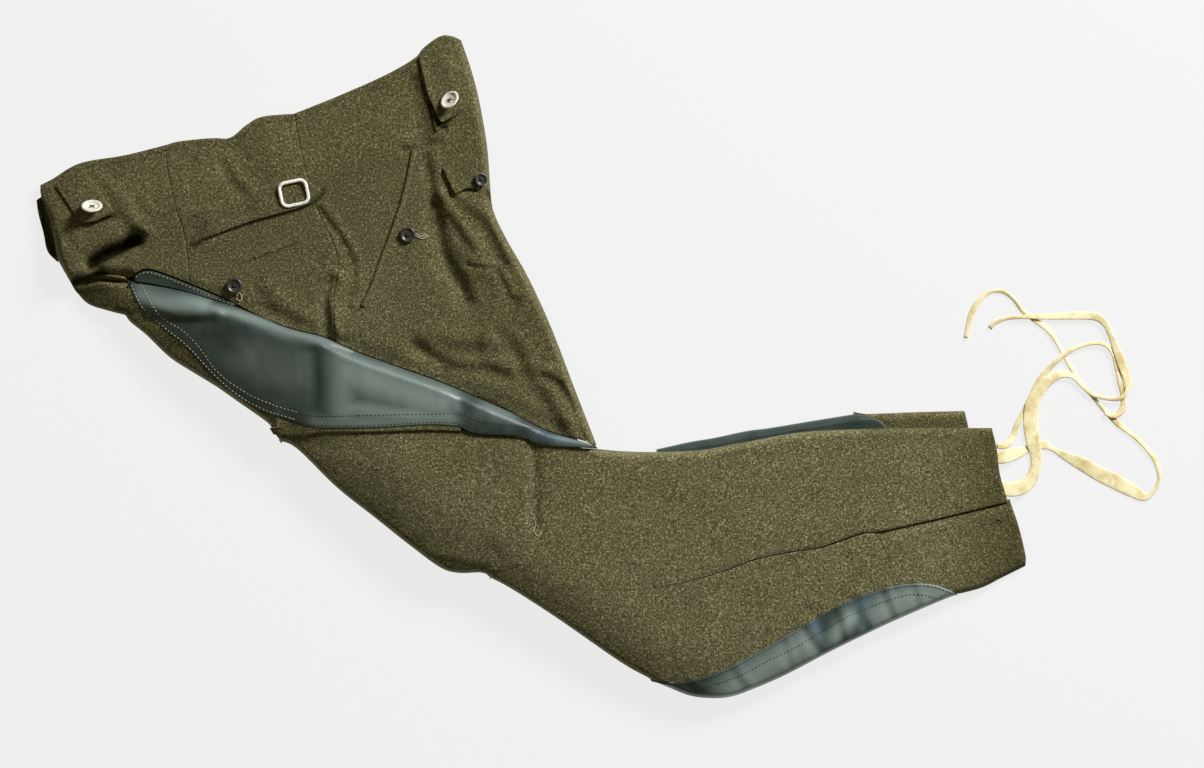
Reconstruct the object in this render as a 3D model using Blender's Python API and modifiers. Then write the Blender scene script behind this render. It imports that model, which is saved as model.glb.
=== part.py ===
"""Heavy wool riding breeches with leather strapping, laid flat with the left leg over the right.

Plan positions are millimetres of the laid-out garment: x runs from the waist to the hem and
y runs from the right leg's side down to the left leg's side. Heights are millimetres above the
surface that it lies on. The finished meshes are in metres.
"""

import math
from collections import namedtuple

import bmesh
import bpy
import numpy as np

MM = 0.001
PLAN_CENTRE = (531.0, 367.8)

# Walls and clearances
CLOTH_WALL = 2.0
LEATHER_WALL = 2.2
TRIM_WALL = 1.6
TAPE_WALL = 1.0
SEAM_GAP = 0.4
SIDE_GAP = 0.5
FOLD_GAP = 1.2
LIE_GAP = 0.45
FLOOR_GAP = 1.4

# The hidden layers: clearance under the panels, reach of one cell, and cells across
CORE_GAP = 0.7
CORE_REACH = 14.0
CORE_CELLS = 14
# How far they stay inside the left and the right outline, and their sides: distance in, share of the height
CORE_LEFT_INSET = 7.0
CORE_RIGHT_INSET = -16.0
CORE_SIDES = ((0.0, 0.0), (0.0, 0.35), (3.0, 0.4), (3.6, 0.72), (11.0, 0.94))
# They lie low by the waist, the seat's crease and the notch above the calf: height, distance, rise
CORE_AT_WAIST = (7.5, 50, 40)
CORE_AT_CREASE = (4.5, 24, 40)
CORE_CREASE_END = (139, 242)
CORE_AT_NOTCH = (10.0, 6, 40)
CORE_NOTCH = ((464, 536), (480, 548), (486, 562))
# Plan lines that they follow: the left side's start and seat, the front fold and the leg's upper fold
CORE_START = ((62, 268), (70, 284))
CORE_SEAT = ((70, 284), (88, 304), (109, 311), (130, 322))
CORE_FRONT = (
    (469, 86), (479, 100), (487, 146), (490, 185), (493, 210), (507, 240), (528, 277), (551, 327),
    (574, 387), (597, 446),
)
CORE_FOLD = (
    (598, 449), (620, 451), (652, 452), (700, 450), (740, 443), (794, 433), (834, 430), (861, 429),
    (915, 428), (930, 428),
)
# Past the thigh's fold they rise from the hip to the leg: where the rise starts and its reach
CORE_RISE = (14, 60)

# Heights of the folded garment
WAIST_EDGE_HEIGHT = 8.0
HIP_HEIGHT = 23.0
HIP_RISE = 75.0
LEFT_EDGE_HEIGHT = 7.0
UNDER_WAIST_HEIGHT = 4.4
UNDER_HEM_HEIGHT = 2.6
RIGHT_CALF_HEIGHT = 9.6
LEATHER_RAISE = 0.8
PATCH_RAISE = 0.6
CALF_LEATHER_RAISE = 0.3
LAP_RAISE = 2.4
# How the hip dips towards the thigh's fold and the seat's crease: depth and reach
FOLD_DIP = (3.0, 18.0)
CREASE_DIP = (7.0, 12.0)
# How the leg's cloth dips under the edge of the leather, and where the thigh levels out to its crown
LAP_DIP = 1.0
LAP_DIP_REACH = 14.0
LAP_REACH = 30.0
LAP_RAMP = 10.0
SEAT_EDGE_HEIGHT = 6.4

# Radii that the folded edges round over
LEFT_EDGE_ROLL = 9.0
FRONT_ROLL = 7.0
UPPER_ROLL = 7.0
LOWER_ROLL = 5.0
THIGH_ROLL = 10.0
SEAT_EDGE_ROLL = 6.0
RIGHT_CALF_ROLL = 8.0
# Grid steps over a rounded edge as shares of its radius, and the most of a panel's width that it takes
ROLL_STEPS = (0.0, 0.05, 0.2, 0.5, 1.0)
ROLL_SHARE = 0.4
FRONT_ROLL_SHARE = 0.8
# The slope inside the lower outline: steepness at its foot, and reach at the seat and by plan x
LOWER_SLOPE = 0.38
LOWER_REACH = (
    (270, 56), (380, 66), (450, 62), (520, 52), (600, 50), (700, 50), (780, 40), (900, 24), (1026, 12),
)
SEAT_SLOPE = 0.35
SEAT_REACH = 70.0
# Rounding of the thigh's ridge: plan x, radius
THIGH_ROLLS = ((131, 26), (230, 20), (330, 12), (597, 10))

# Crown of each leg from thigh to hem: plan x, height
LEG_CROWN = (
    (270, 34), (400, 38), (500, 37), (600, 33), (700, 28), (800, 24), (900, 20), (960, 15), (1008, 9),
    (1026, 8),
)
THIGH_CROWN = ((71, 16), (131, 27), (200, 33), (300, 38), (400, 40), (500, 39), (597, 34))
# Height that the upper fold of the left leg rolls down to: plan x, height
UPPER_FOLD_FOOT = ((598, 1.2), (640, 4.0), (664, 10.6), (970, 10.6), (992, 7.0))

# Deep folds: plan points, depth (negative for a ridge) and width. A pleat is
# a trough with a ridge beside it, on the side of PLEAT_SIDE.
Fold = namedtuple("Fold", "line depth width")
PLEAT_SIDE = (0.66, -0.75)
PLEAT_SHIFT = 0.7
HIP_FOLDS = (
    Fold(((92, 263), (105, 255), (120, 249), (136, 240)), 15.0, 6.5),
)
HIP_PLEATS = (
    Fold(((438, 202), (442, 217), (444, 240), (452, 263), (461, 278), (470, 298)), 3.2, 9.0),
    Fold(((453, 222), (461, 250), (474, 278)), 4.0, 16.0),
    Fold(((468, 208), (485, 222), (497, 242), (506, 260)), 2.6, 9.0),
    Fold(((418, 343), (440, 358), (460, 366), (485, 366), (508, 372)), 2.4, 8.0),
    Fold(((335, 280), (329, 300), (331, 320), (334, 336)), 3.2, 6.5),
    Fold(((517, 345), (528, 370), (545, 395), (558, 415), (568, 436)), 2.0, 9.0),
    Fold(((430, 340), (455, 347), (482, 345)), 3.0, 13.0),
    Fold(((520, 300), (514, 316), (503, 331)), 2.6, 7.0),
)
THIGH_FOLDS = (
    Fold(((318, 352), (318, 415)), 1.8, 9.0),
    Fold(((466, 394), (462, 426)), 2.6, 7.0),
    Fold(((190, 320), (230, 352)), 1.5, 12.0),
)
LEG_FOLDS = (
    Fold(((534, 453), (534, 490), (535, 526)), 3.0, 6.0),
    Fold(((290, 444), (350, 447), (440, 441)), 1.2, 8.0),
    Fold(((815, 618), (822, 648)), 2.0, 8.0),
    Fold(((862, 600), (868, 625)), 1.8, 8.0),
)

# Plan x where the leg's upper fold and the lap over the leg begin
UPPER_FOLD_START = 560
LAP_START = 268

# Cells of the hip panels from the waist down, and stations along the left leg's outline and its side seam
HIP_ROWS = 18
THIGH_STATIONS = 15
SEAM_STATIONS = 31

# Plan lines of the garment
WAIST_LEFT = ((40, 185), (52, 179), (80, 163), (125, 155), (165, 145))
WAIST_BACK = ((165, 145), (180, 141), (211, 138), (230, 137.5), (246, 125), (262, 116.5), (294, 113.5))
WAIST_FRONT = ((294, 113.5), (340, 95), (387, 74), (415, 57.5), (423, 48), (440, 36), (452, 36), (461, 40))
LEFT_EDGE = ((40, 185), (41, 196), (48, 214), (54, 240), (58, 260), (71, 284))
CENTRE_BACK = ((165, 145), (168, 172), (177, 210), (186, 240), (190, 284))
SIDE_SEAM = ((294, 113.5), (303, 160), (317, 208), (333, 242), (338, 265), (334, 300), (335, 342))
FRONT_FOLD = (
    (461, 40), (471, 69), (479, 100), (487, 146), (490, 185), (493, 210), (507, 240),
    (528, 277), (551, 327), (574, 387), (597, 446),
)
SEAT_CREASE = ((71, 284), (100, 277), (127, 279.5), (142, 271), (155, 271), (190, 284))
RIGHT_STRIP_TOP = ((134, 277), (142, 271.5), (155, 271.5), (190, 284.5), (215, 295), (236, 303.5))
RIGHT_STRIP_LOW = ((135, 282), (155, 285), (183, 291), (210, 299), (236, 307))
THIGH_FOLD_SEAT = ((131, 280.5), (155, 285), (183, 291), (210, 299), (234, 306), (256, 315))
THIGH_FOLD_BACK = ((190, 284), (229, 300.5), (256, 315), (288, 328), (320, 336), (335, 342))
THIGH_FOLD_MIDDLE = ((256, 315), (288, 328), (320, 336), (335, 342), (352, 350), (387, 363), (430, 378))
THIGH_FOLD_KNEE = ((430, 378), (460, 390), (510, 412), (545, 430), (581, 441), (597, 446))
THIGH_FOLD_FRONT = (
    (335, 342), (352, 350), (387, 363), (430, 378), (460, 390), (510, 412), (545, 430), (581, 441),
    (597, 446),
)
SEAT_EDGE = ((74, 286), (100, 279), (127, 282))
LEATHER_SEAT = ((129, 284), (141, 307), (164, 328), (187, 347), (210, 372), (233, 393), (261, 411))
LEATHER_THIGH = ((261, 411), (293, 422), (320, 428), (375, 428), (431, 425), (462, 427))
LEATHER_KNEE = ((462, 428), (478, 434), (524, 437), (535, 443), (560, 446), (598, 449))
SEAT_OUTLINE_TOP = ((75, 291), (88, 304), (109, 311), (125, 315))
SEAT_OUTLINE = (
    (125, 315), (130, 322), (146, 335), (169, 357), (192, 372), (215, 386), (238, 402), (261, 418),
    (270, 425),
)
LAP_EDGE = ((270, 425), (280, 434), (306, 436), (325, 433), (375, 432.5), (430, 431), (462, 432))
UPPER_FOLD = (
    (598, 449), (620, 451), (652, 452), (700, 450), (740, 443), (794, 433), (834, 430), (861, 429),
    (915, 428), (992, 428),
)
THIGH_OUTLINE = (
    (278, 440), (297, 449), (336, 487), (375, 518), (409, 545), (439, 567), (457, 573), (480, 572.5),
)
LEG_SIDE_SEAM = (
    (485, 573), (529, 582), (575, 587), (621, 589), (660, 586), (690, 580), (724, 570), (758, 558),
    (793, 551), (820, 547), (861, 533), (877, 532), (940, 518), (1008, 502),
)
LEFT_HEM = ((992, 428), (997, 450), (1000, 474), (1008, 502))
CALF_OUTLINE_TOP = ((489, 577), (513, 590), (558, 619), (620, 662), (650, 679))
LEATHER_CALF = (
    (650, 679), (674, 682), (706, 676), (738, 662), (781, 638), (807, 623), (848, 601), (888, 587),
    (915, 583), (936, 585), (958, 594),
)
CALF_OUTLINE = (
    (650, 680), (667, 687), (690, 696), (712, 698.5), (731, 697), (754, 689), (786, 675), (834, 650),
    (888, 624), (941, 601), (958, 594.5),
)
CALF_OUTLINE_HEM = ((958, 594.5), (982, 588), (1000, 579), (1026, 566))
PLACKET_HEM = ((1011, 503), (1019, 527), (1025.5, 554), (1026, 566))
RIGHT_CALF_OUTLINE = ((656, 449.5), (690, 442), (714, 438), (747, 431), (770, 428), (818, 420), (856, 414))
RIGHT_CALF_OUTLINE_HEM = ((861.5, 414), (882, 413.5), (920, 412), (965, 411))
RIGHT_CALF_INNER = ((660, 462), (700, 461), (740, 454), (794, 444), (834, 441), (880, 440), (896, 439))
RIGHT_CALF_INNER_HEM = ((901, 439), (930, 438.5), (971, 438))
RIGHT_LEATHER_END = ((856, 414), (869, 416), (882, 422), (896, 439))
RIGHT_CLOTH_END = ((861.5, 414), (875, 417), (888, 423), (901, 439))
UNDER_WAIST_TOP = (
    (36, 200), (52, 189), (80, 175), (125, 166), (180, 152), (230, 148), (262, 128), (300, 123), (340, 105),
    (387, 84), (440, 56), (450, 54),
)
UNDER_WAIST_INNER = ((57, 262), (90, 238), (173, 206), (297, 152), (387, 112), (458, 80))
UNDER_WAIST_END = ((36, 200), (38, 214), (43, 233), (47, 251), (57, 262))
UNDER_HEM_TOP = ((948, 438), (989, 434))
UNDER_HEM_LOW = ((976, 587), (1000, 576.2), (1021, 565.6))
UNDER_HEM_EDGE = ((989, 434), (994, 451), (997, 475), (1006, 505), (1015, 530), (1021, 565.6))


# Steps along a smooth curve between two of its points
CURVE_STEPS = 16
OUTLINE_STEPS = 8
END_STEPS = 60
FOLD_STEPS = 5


# Clearances of the folded-over leather and of the strips beside it, and shifts of the panels' corners
LAP_GAP = 0.3
LEATHER_GAP = 0.6
CALF_LEATHER_GAP = 0.5
RIGHT_STRIP_GAPS = (0.6, 1.0, 0.5, 0.5)
LEATHER_START_SHIFT = (1.5, 4.5)
LEATHER_END_SHIFT = (-3.0, -3.0)
OUTER_TOP_SHIFT = (18.0, 9.4)
OUTER_LOW_SHIFT = (5.0, 2.0)
CALF_TOP_SHIFT = (14.0, 4.6)
CALF_LOW_SHIFT = (11.0, 7.5)
CALF_LEATHER_SHIFT = (-0.8, 1.5)


def ease(amount):
    amount = np.clip(amount, 0.0, 1.0)
    return amount * amount * (3.0 - 2.0 * amount)


def smooth_line(points, count):
    """Plan points at even distances on a smooth curve through the given ones."""
    points = np.array(points, float)
    ends = np.vstack([2 * points[0] - points[1], points, 2 * points[-1] - points[-2]])
    dense = []
    for i in range(len(points) - 1):
        before, a, b, after = ends[i : i + 4]
        for t in np.linspace(0, 1, CURVE_STEPS, endpoint=False):
            dense.append(
                a
                + 0.5 * t * (b - before)
                + t * t * (before - 2.5 * a + 2 * b - 0.5 * after)
                + t * t * t * (1.5 * (a - b) + 0.5 * (after - before))
            )
    dense.append(points[-1])
    dense = np.array(dense)
    run = np.concatenate([[0], np.cumsum(np.linalg.norm(np.diff(dense[:, :2], axis=0), axis=1))])
    wanted = np.linspace(0, run[-1], count + 1)
    return np.stack([np.interp(wanted, run, column) for column in dense.T], axis=1)


def guide(*stretches):
    """One edge of a panel from (points, count) stretches that follow one another."""
    parts = [smooth_line(points, count) for points, count in stretches]
    return np.vstack([parts[0]] + [part[1:] for part in parts[1:]])


def distance_to(line, points):
    """Plan distance from each point to a line."""
    line = np.array(line, float)[:, :2]
    least = np.full(points.shape[:-1], np.inf)
    for a, b in zip(line[:-1], line[1:]):
        along = b - a
        share = np.clip(((points - a) @ along) / max(along @ along, 1e-9), 0, 1)
        near = a + share[..., None] * along
        least = np.minimum(least, np.linalg.norm(points - near, axis=-1))
    return least


def smooth_outline(*lines):
    """One dense plan line through several stretches, each smooth in itself."""
    return np.vstack([smooth_line(points, OUTLINE_STEPS * (len(points) - 1)) for points in lines])


WAIST = smooth_outline(WAIST_LEFT, WAIST_BACK, WAIST_FRONT)
LEFT_SIDE = smooth_outline(LEFT_EDGE)
# The left side turns from the waist's edge to the seat's at this point of its line
LEFT_SIDE_TURN = 32
FRONT = smooth_outline(FRONT_FOLD)
LEG_OUTLINE = smooth_outline(THIGH_OUTLINE, CALF_OUTLINE_TOP, CALF_OUTLINE, CALF_OUTLINE_HEM)
LEG_FOLD = smooth_outline(UPPER_FOLD)
LAP = smooth_outline(LAP_EDGE, LEATHER_KNEE)
THIGH_RIDGE = smooth_outline(THIGH_FOLD_SEAT, THIGH_FOLD_MIDDLE, THIGH_FOLD_KNEE)
SEAT_SIDE = smooth_outline(SEAT_OUTLINE_TOP, SEAT_OUTLINE)
RIGHT_SIDE = smooth_outline(RIGHT_CALF_OUTLINE, RIGHT_CALF_OUTLINE_HEM)


def rolled(height, foot, distance, radius):
    """A folded edge: a quarter ellipse from its foot at the outline up to the full height."""
    share = np.clip(distance / radius, 0, 1)
    return foot + (height - foot) * np.sqrt(1 - (1 - share) ** 2)


def sloped(height, steepness, distance, reach):
    """A slope that is steepest at the outline and levels out at the end of its reach."""
    share = np.clip(distance / reach, 0, 1)
    return height - steepness * reach / 2 * (1 - share) ** 2


def level(table, x):
    return np.interp(x, [row[0] for row in table], [row[1] for row in table])


def folded(points, folds):
    """How far folds press the cloth down, or lift it where their depth is negative."""
    total = np.zeros(points.shape[:-1])
    for fold in folds:
        away = distance_to(smooth_line(fold.line, FOLD_STEPS * len(fold.line)), points)
        total += fold.depth * np.exp(-((away / fold.width) ** 2))
    return total


def pleated(points, pleats):
    """How far pleats press the cloth down on one side of their lines and lift it on the other."""
    total = np.zeros(points.shape[:-1])
    for pleat in pleats:
        line = smooth_line(pleat.line, FOLD_STEPS * len(pleat.line))
        for side in (-1, 1):
            away = distance_to(line + np.array(PLEAT_SIDE) * side * PLEAT_SHIFT * pleat.width, points)
            total -= side * pleat.depth * np.exp(-((away / pleat.width) ** 2))
    return total


def dip_beside(line, points, depth, reach):
    """How far the cloth dips beside a line, most at the line itself."""
    return depth * (1 - ease(distance_to(line, points) / reach))


def hip_crown(points):
    """Outer surface of the hip panels, before their folded edges round over."""
    rise = ease(distance_to(WAIST, points) / HIP_RISE)
    height = WAIST_EDGE_HEIGHT + (HIP_HEIGHT - WAIST_EDGE_HEIGHT) * rise
    height = height - folded(points, HIP_FOLDS) - pleated(points, HIP_PLEATS)
    height = height - dip_beside(THIGH_FOLD_SEAT + THIGH_FOLD_FRONT, points, *FOLD_DIP)
    return height - dip_beside(SEAT_CREASE[:3], points, *CREASE_DIP)


def hip_height(points):
    """Outer surface of the hip panels."""
    waist_side, seat_side = LEFT_SIDE[: LEFT_SIDE_TURN + 1], LEFT_SIDE[LEFT_SIDE_TURN:]
    height = rolled(hip_crown(points), LEFT_EDGE_HEIGHT, distance_to(waist_side, points), LEFT_EDGE_ROLL)
    height = np.minimum(height, rolled(height, FLOOR_GAP, distance_to(seat_side, points), FRONT_ROLL))
    return rolled(height, FLOOR_GAP, distance_to(FRONT, points), FRONT_ROLL)


def leg_crown(points):
    """Outer surface of the left leg's outer side, before its edges slope and round over."""
    height = level(LEG_CROWN, points[..., 0]) - folded(points, LEG_FOLDS)
    return height - dip_beside(LAP_EDGE + LEATHER_KNEE[1:4], points, LAP_DIP, LAP_DIP_REACH)


def leg_height(points):
    """Outer surface of the left leg's outer side."""
    away = distance_to(LEG_OUTLINE, points)
    height = sloped(leg_crown(points), LOWER_SLOPE, away, level(LOWER_REACH, points[..., 0]))
    height = rolled(height, FLOOR_GAP, away, LOWER_ROLL)
    foot = level(UPPER_FOLD_FOOT, points[..., 0])
    top = rolled(height, foot, distance_to(LEG_FOLD, points), UPPER_ROLL)
    return np.where(points[..., 0] > UPPER_FOLD_START, np.minimum(height, top), height)


def thigh_crown(points):
    """Outer surface of the inner thigh, before it is lapped over the leg and its edges round over."""
    return level(THIGH_CROWN, points[..., 0]) - folded(points, THIGH_FOLDS)


def thigh_height(points):
    """Outer surface of the seat and inner thigh, folded over the hip and lapped over the leg."""
    height = thigh_crown(points)
    lapped = leg_height(points) + LAP_RAISE
    over_leg = ease((points[..., 0] - LAP_START) / LAP_RAMP) * (1 - ease(distance_to(LAP, points) / LAP_REACH))
    height = height + (lapped - height) * over_leg
    foot = HIP_HEIGHT - FOLD_DIP[0] - CLOTH_WALL
    height = rolled(height, foot, distance_to(THIGH_RIDGE, points), level(THIGH_ROLLS, points[..., 0]))
    height = rolled(height, SEAT_EDGE_HEIGHT, distance_to(SEAT_EDGE, points), SEAT_EDGE_ROLL)
    away = distance_to(SEAT_SIDE, points)
    height = np.maximum(sloped(height, SEAT_SLOPE, away, SEAT_REACH), np.minimum(height, SEAT_EDGE_HEIGHT))
    height = rolled(height, FLOOR_GAP, away, LOWER_ROLL)
    return height + (np.maximum(height, lapped) - height) * over_leg


def right_calf_height(points):
    """Outer surface of the strip of the right leg that shows above the left calf."""
    height = np.full(points.shape[:-1], RIGHT_CALF_HEIGHT)
    return rolled(height, FLOOR_GAP, distance_to(RIGHT_SIDE, points), RIGHT_CALF_ROLL)


def across(count, width, first_roll=0.0, last_roll=0.0):
    """Shares of the way across a panel, closer together where an edge rounds over."""
    first = min(first_roll, width * ROLL_SHARE)
    last = min(last_roll, width * ROLL_SHARE)
    head = [first * step for step in ROLL_STEPS[:-1]] if first_roll else []
    tail = [width - last * step for step in reversed(ROLL_STEPS[:-1])] if last_roll else []
    middle = np.linspace(first, width - last, count + 1)
    return np.concatenate([head, middle, tail]) / width


def patch(first, last, count, start=None, end=None, first_roll=0.0, last_roll=0.0):
    """Plan grid of a panel between two edges with as many stations each, and its two ends."""
    start_line = smooth_line(start, END_STEPS) if start is not None else np.array([first[0], last[0]])
    end_line = smooth_line(end, END_STEPS) if end is not None else np.array([first[-1], last[-1]])
    ends = ((start_line, 0), (end_line, len(first) - 1))
    rows = []
    for i, (a, b) in enumerate(zip(first, last)):
        steps = across(count, np.linalg.norm(b - a), first_roll, last_roll)[:, None]
        row = a + (b - a) * steps
        for line, station in ends:
            weight = 1 - abs(i - station) / (len(first) - 1)
            shares = np.linspace(0, 1, len(line))
            bent = np.stack([np.interp(steps[:, 0], shares, line[:, k]) for k in (0, 1)], axis=1)
            row = row + weight * (bent - (first[station] + (last[station] - first[station]) * steps))
        rows.append(row)
    return np.array(rows)


def drawn_in(grid, first=SEAM_GAP / 2, last=SEAM_GAP / 2, start=SEAM_GAP / 2, end=SEAM_GAP / 2):
    """The grid with its four edges drawn in by the clearance to the next piece."""
    grid = grid.copy()
    for edge, inner, gap in (
        ((slice(None), 0), (slice(None), 1), first),
        ((slice(None), -1), (slice(None), -2), last),
        ((0, slice(None)), (1, slice(None)), start),
        ((-1, slice(None)), (-2, slice(None)), end),
    ):
        step = grid[inner] - grid[edge]
        reach = np.linalg.norm(step, axis=-1, keepdims=True)
        grid[edge] += step / reach * np.minimum(np.reshape(gap, (-1, 1)), reach / 2)
    return grid


def material(name, colour, roughness):
    made = bpy.data.materials.new(name)
    made.use_nodes = True
    shader = made.node_tree.nodes["Principled BSDF"]
    shader.inputs["Base Color"].default_value = (*colour, 1.0)
    shader.inputs["Roughness"].default_value = roughness
    made.diffuse_color = (*colour, 1.0)
    return made


def in_metres(points, heights):
    x = (points[..., 0] - PLAN_CENTRE[0]) * MM
    y = (PLAN_CENTRE[1] - points[..., 1]) * MM
    return np.stack([x, y, heights * MM], axis=-1)


def new_object(name, mesh, finish, collection):
    mesh.materials.append(finish)
    made = bpy.data.objects.new(name, mesh)
    collection.objects.link(made)
    return made


def wall(name, grid, heights, thickness, finish, collection):
    """A cloth or leather wall: an open grid surface with its thickness below it."""
    rows, columns = heights.shape
    places = in_metres(grid, heights)
    shape = bmesh.new()
    corners = [[shape.verts.new(place) for place in row] for row in places]
    for i in range(rows - 1):
        for j in range(columns - 1):
            shape.faces.new((corners[i][j], corners[i + 1][j], corners[i + 1][j + 1], corners[i][j + 1]))
    bmesh.ops.recalc_face_normals(shape, faces=shape.faces)
    shape.normal_update()
    if sum(face.normal.z * face.calc_area() for face in shape.faces) < 0:
        bmesh.ops.reverse_faces(shape, faces=shape.faces)
    mesh = bpy.data.meshes.new(name)
    shape.to_mesh(mesh)
    shape.free()
    mesh.shade_smooth()
    made = new_object(name, mesh, finish, collection)
    solid = made.modifiers.new("wall", "SOLIDIFY")
    solid.thickness = thickness * MM
    solid.offset = -1.0
    return made


def lowest_near(crown, points):
    """The least height of a crown within the reach of one cell of the hidden layers."""
    offsets = [(0.0, 0.0)]
    for reach, count in ((CORE_REACH / 2, 8), (CORE_REACH, 16)):
        for angle in np.arange(count) * 2 * math.pi / count:
            offsets.append((reach * math.cos(angle), reach * math.sin(angle)))
    return np.min([crown(points + np.array(offset)) for offset in offsets], axis=0)


def held_low(height, line, points, low, start, reach):
    """The height, held to a low one near a line and let go over a reach."""
    return np.minimum(height, low + (height - low) * ease((distance_to(line, points) - start) / reach))


def core_height(points):
    """Top of the hidden layers, just under the panels that show."""
    fold = np.array(THIGH_FOLD_SEAT + THIGH_FOLD_MIDDLE[1:] + THIGH_FOLD_KNEE[1:], float)
    x = points[..., 0]
    past_fold = points[..., 1] - np.interp(x, fold[:, 0], fold[:, 1])
    under = CLOTH_WALL + CORE_GAP
    hip_top = lowest_near(hip_crown, points) - under
    leg_top = lowest_near(leg_crown, points)
    leg_top = sloped(leg_top, LOWER_SLOPE, distance_to(LEG_OUTLINE, points), level(LOWER_REACH, x)) - under
    thigh_top = lowest_near(thigh_crown, points) + LEATHER_RAISE - LEATHER_WALL - CORE_GAP
    thigh_top = sloped(thigh_top, SEAT_SLOPE, distance_to(SEAT_SIDE, points), SEAT_REACH)
    folded_top = np.where(x < LAP_START, thigh_top, np.minimum(leg_top, thigh_top))
    share = ease((past_fold - CORE_RISE[0]) / CORE_RISE[1])
    height = np.where(x < UPPER_FOLD[0][0], hip_top + (folded_top - hip_top) * share, leg_top)
    height = held_low(height, WAIST, points, *CORE_AT_WAIST)
    height = held_low(height, CORE_NOTCH, points, *CORE_AT_NOTCH)
    return held_low(height, SEAT_CREASE[:3] + (CORE_CREASE_END,), points, *CORE_AT_CREASE)


def inset(line, distance):
    """The line moved to its left in the plan, seen along it."""
    along = np.gradient(line, axis=0)
    along /= np.linalg.norm(along, axis=1, keepdims=True)
    return line + np.stack([along[:, 1], -along[:, 0]], axis=1) * distance


def hidden_layers(finish, collection):
    """The folded layers that nothing shows, as one rounded solid with a flat underside."""
    left = guide(
        (CORE_START, 1),
        (CORE_SEAT, 4),
        (SEAT_OUTLINE[1:], 9),
        (SEAT_OUTLINE[-1:] + THIGH_OUTLINE, 13),
        (THIGH_OUTLINE[-1:] + CALF_OUTLINE_TOP, 9),
        (CALF_OUTLINE, 14),
    )
    right = guide((CORE_FRONT, 22), (CORE_FOLD, 28))
    left = inset(left, CORE_LEFT_INSET)
    right = inset(right, CORE_RIGHT_INSET)
    edge = CORE_SIDES[-1][0]
    across_steps = np.linspace(0.0, 1.0, CORE_CELLS)[1:-1]
    shape = bmesh.new()
    rings = []
    for a, b in zip(left, right):
        way = (b - a) / np.linalg.norm(b - a)
        plan = [a + way * step for step, _ in CORE_SIDES]
        plan += [a + way * edge + (b - a - way * edge * 2) * share for share in across_steps]
        plan += [b - way * step for step, _ in reversed(CORE_SIDES)]
        plan = np.array(plan)
        shares = [share for _, share in CORE_SIDES] + [1.0] * len(across_steps)
        shares += [share for _, share in reversed(CORE_SIDES)]
        heights = core_height(plan) * np.array(shares)
        rings.append([shape.verts.new(place) for place in in_metres(plan, heights)])
    for ring, following in zip(rings[:-1], rings[1:]):
        for j in range(len(ring)):
            k = (j + 1) % len(ring)
            shape.faces.new((ring[j], ring[k], following[k], following[j]))
    shape.faces.new(rings[0])
    shape.faces.new(rings[-1])
    bmesh.ops.recalc_face_normals(shape, faces=shape.faces)
    mesh = bpy.data.meshes.new("hidden_layers")
    shape.to_mesh(mesh)
    shape.free()
    return new_object("hidden_layers", mesh, finish, collection)


def hip_panels(finish, collection):
    """Left back, right back and right front of the hip, from the waist down to the thigh fold."""
    left = patch(guide((WAIST_LEFT, 12)), guide((SEAT_CREASE, 12)), HIP_ROWS, LEFT_EDGE, CENTRE_BACK)
    left = drawn_in(left, last=FOLD_GAP, start=0.0)
    wall("left_back_hip", left, hip_height(left), CLOTH_WALL, finish, collection)
    back = patch(guide((WAIST_BACK, 10)), guide((THIGH_FOLD_BACK, 10)), HIP_ROWS, CENTRE_BACK, SIDE_SEAM)
    back = drawn_in(back, last=FOLD_GAP, end=SIDE_GAP)
    wall("right_back_hip", back, hip_height(back), CLOTH_WALL, finish, collection)
    front = patch(guide((WAIST_FRONT, 18)), guide((THIGH_FOLD_FRONT, 18)), HIP_ROWS, SIDE_SEAM, FRONT_FOLD)
    reach = np.linalg.norm(front[-1] - front[-2], axis=-1)[:, None]
    inward = (front[-2] - front[-1]) * np.minimum(FRONT_ROLL / reach, FRONT_ROLL_SHARE)
    extra = [front[-1] + inward * step for step in ROLL_STEPS[1:]]
    front = np.array(list(front[:-1]) + extra[::-1] + [front[-1]])
    front = drawn_in(front, last=FOLD_GAP, start=SIDE_GAP, end=0.0)
    wall("right_front_hip", front, hip_height(front), CLOTH_WALL, finish, collection)


def under_waist(finish, collection):
    """The left half's waist, which lies beneath and shows along its end."""
    plan = patch(guide((UNDER_WAIST_TOP, 22)), guide((UNDER_WAIST_INNER, 22)), 4, UNDER_WAIST_END)
    heights = np.full(plan.shape[:-1], UNDER_WAIST_HEIGHT)
    wall("left_waist_under", plan, heights, CLOTH_WALL, finish, collection)


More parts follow.
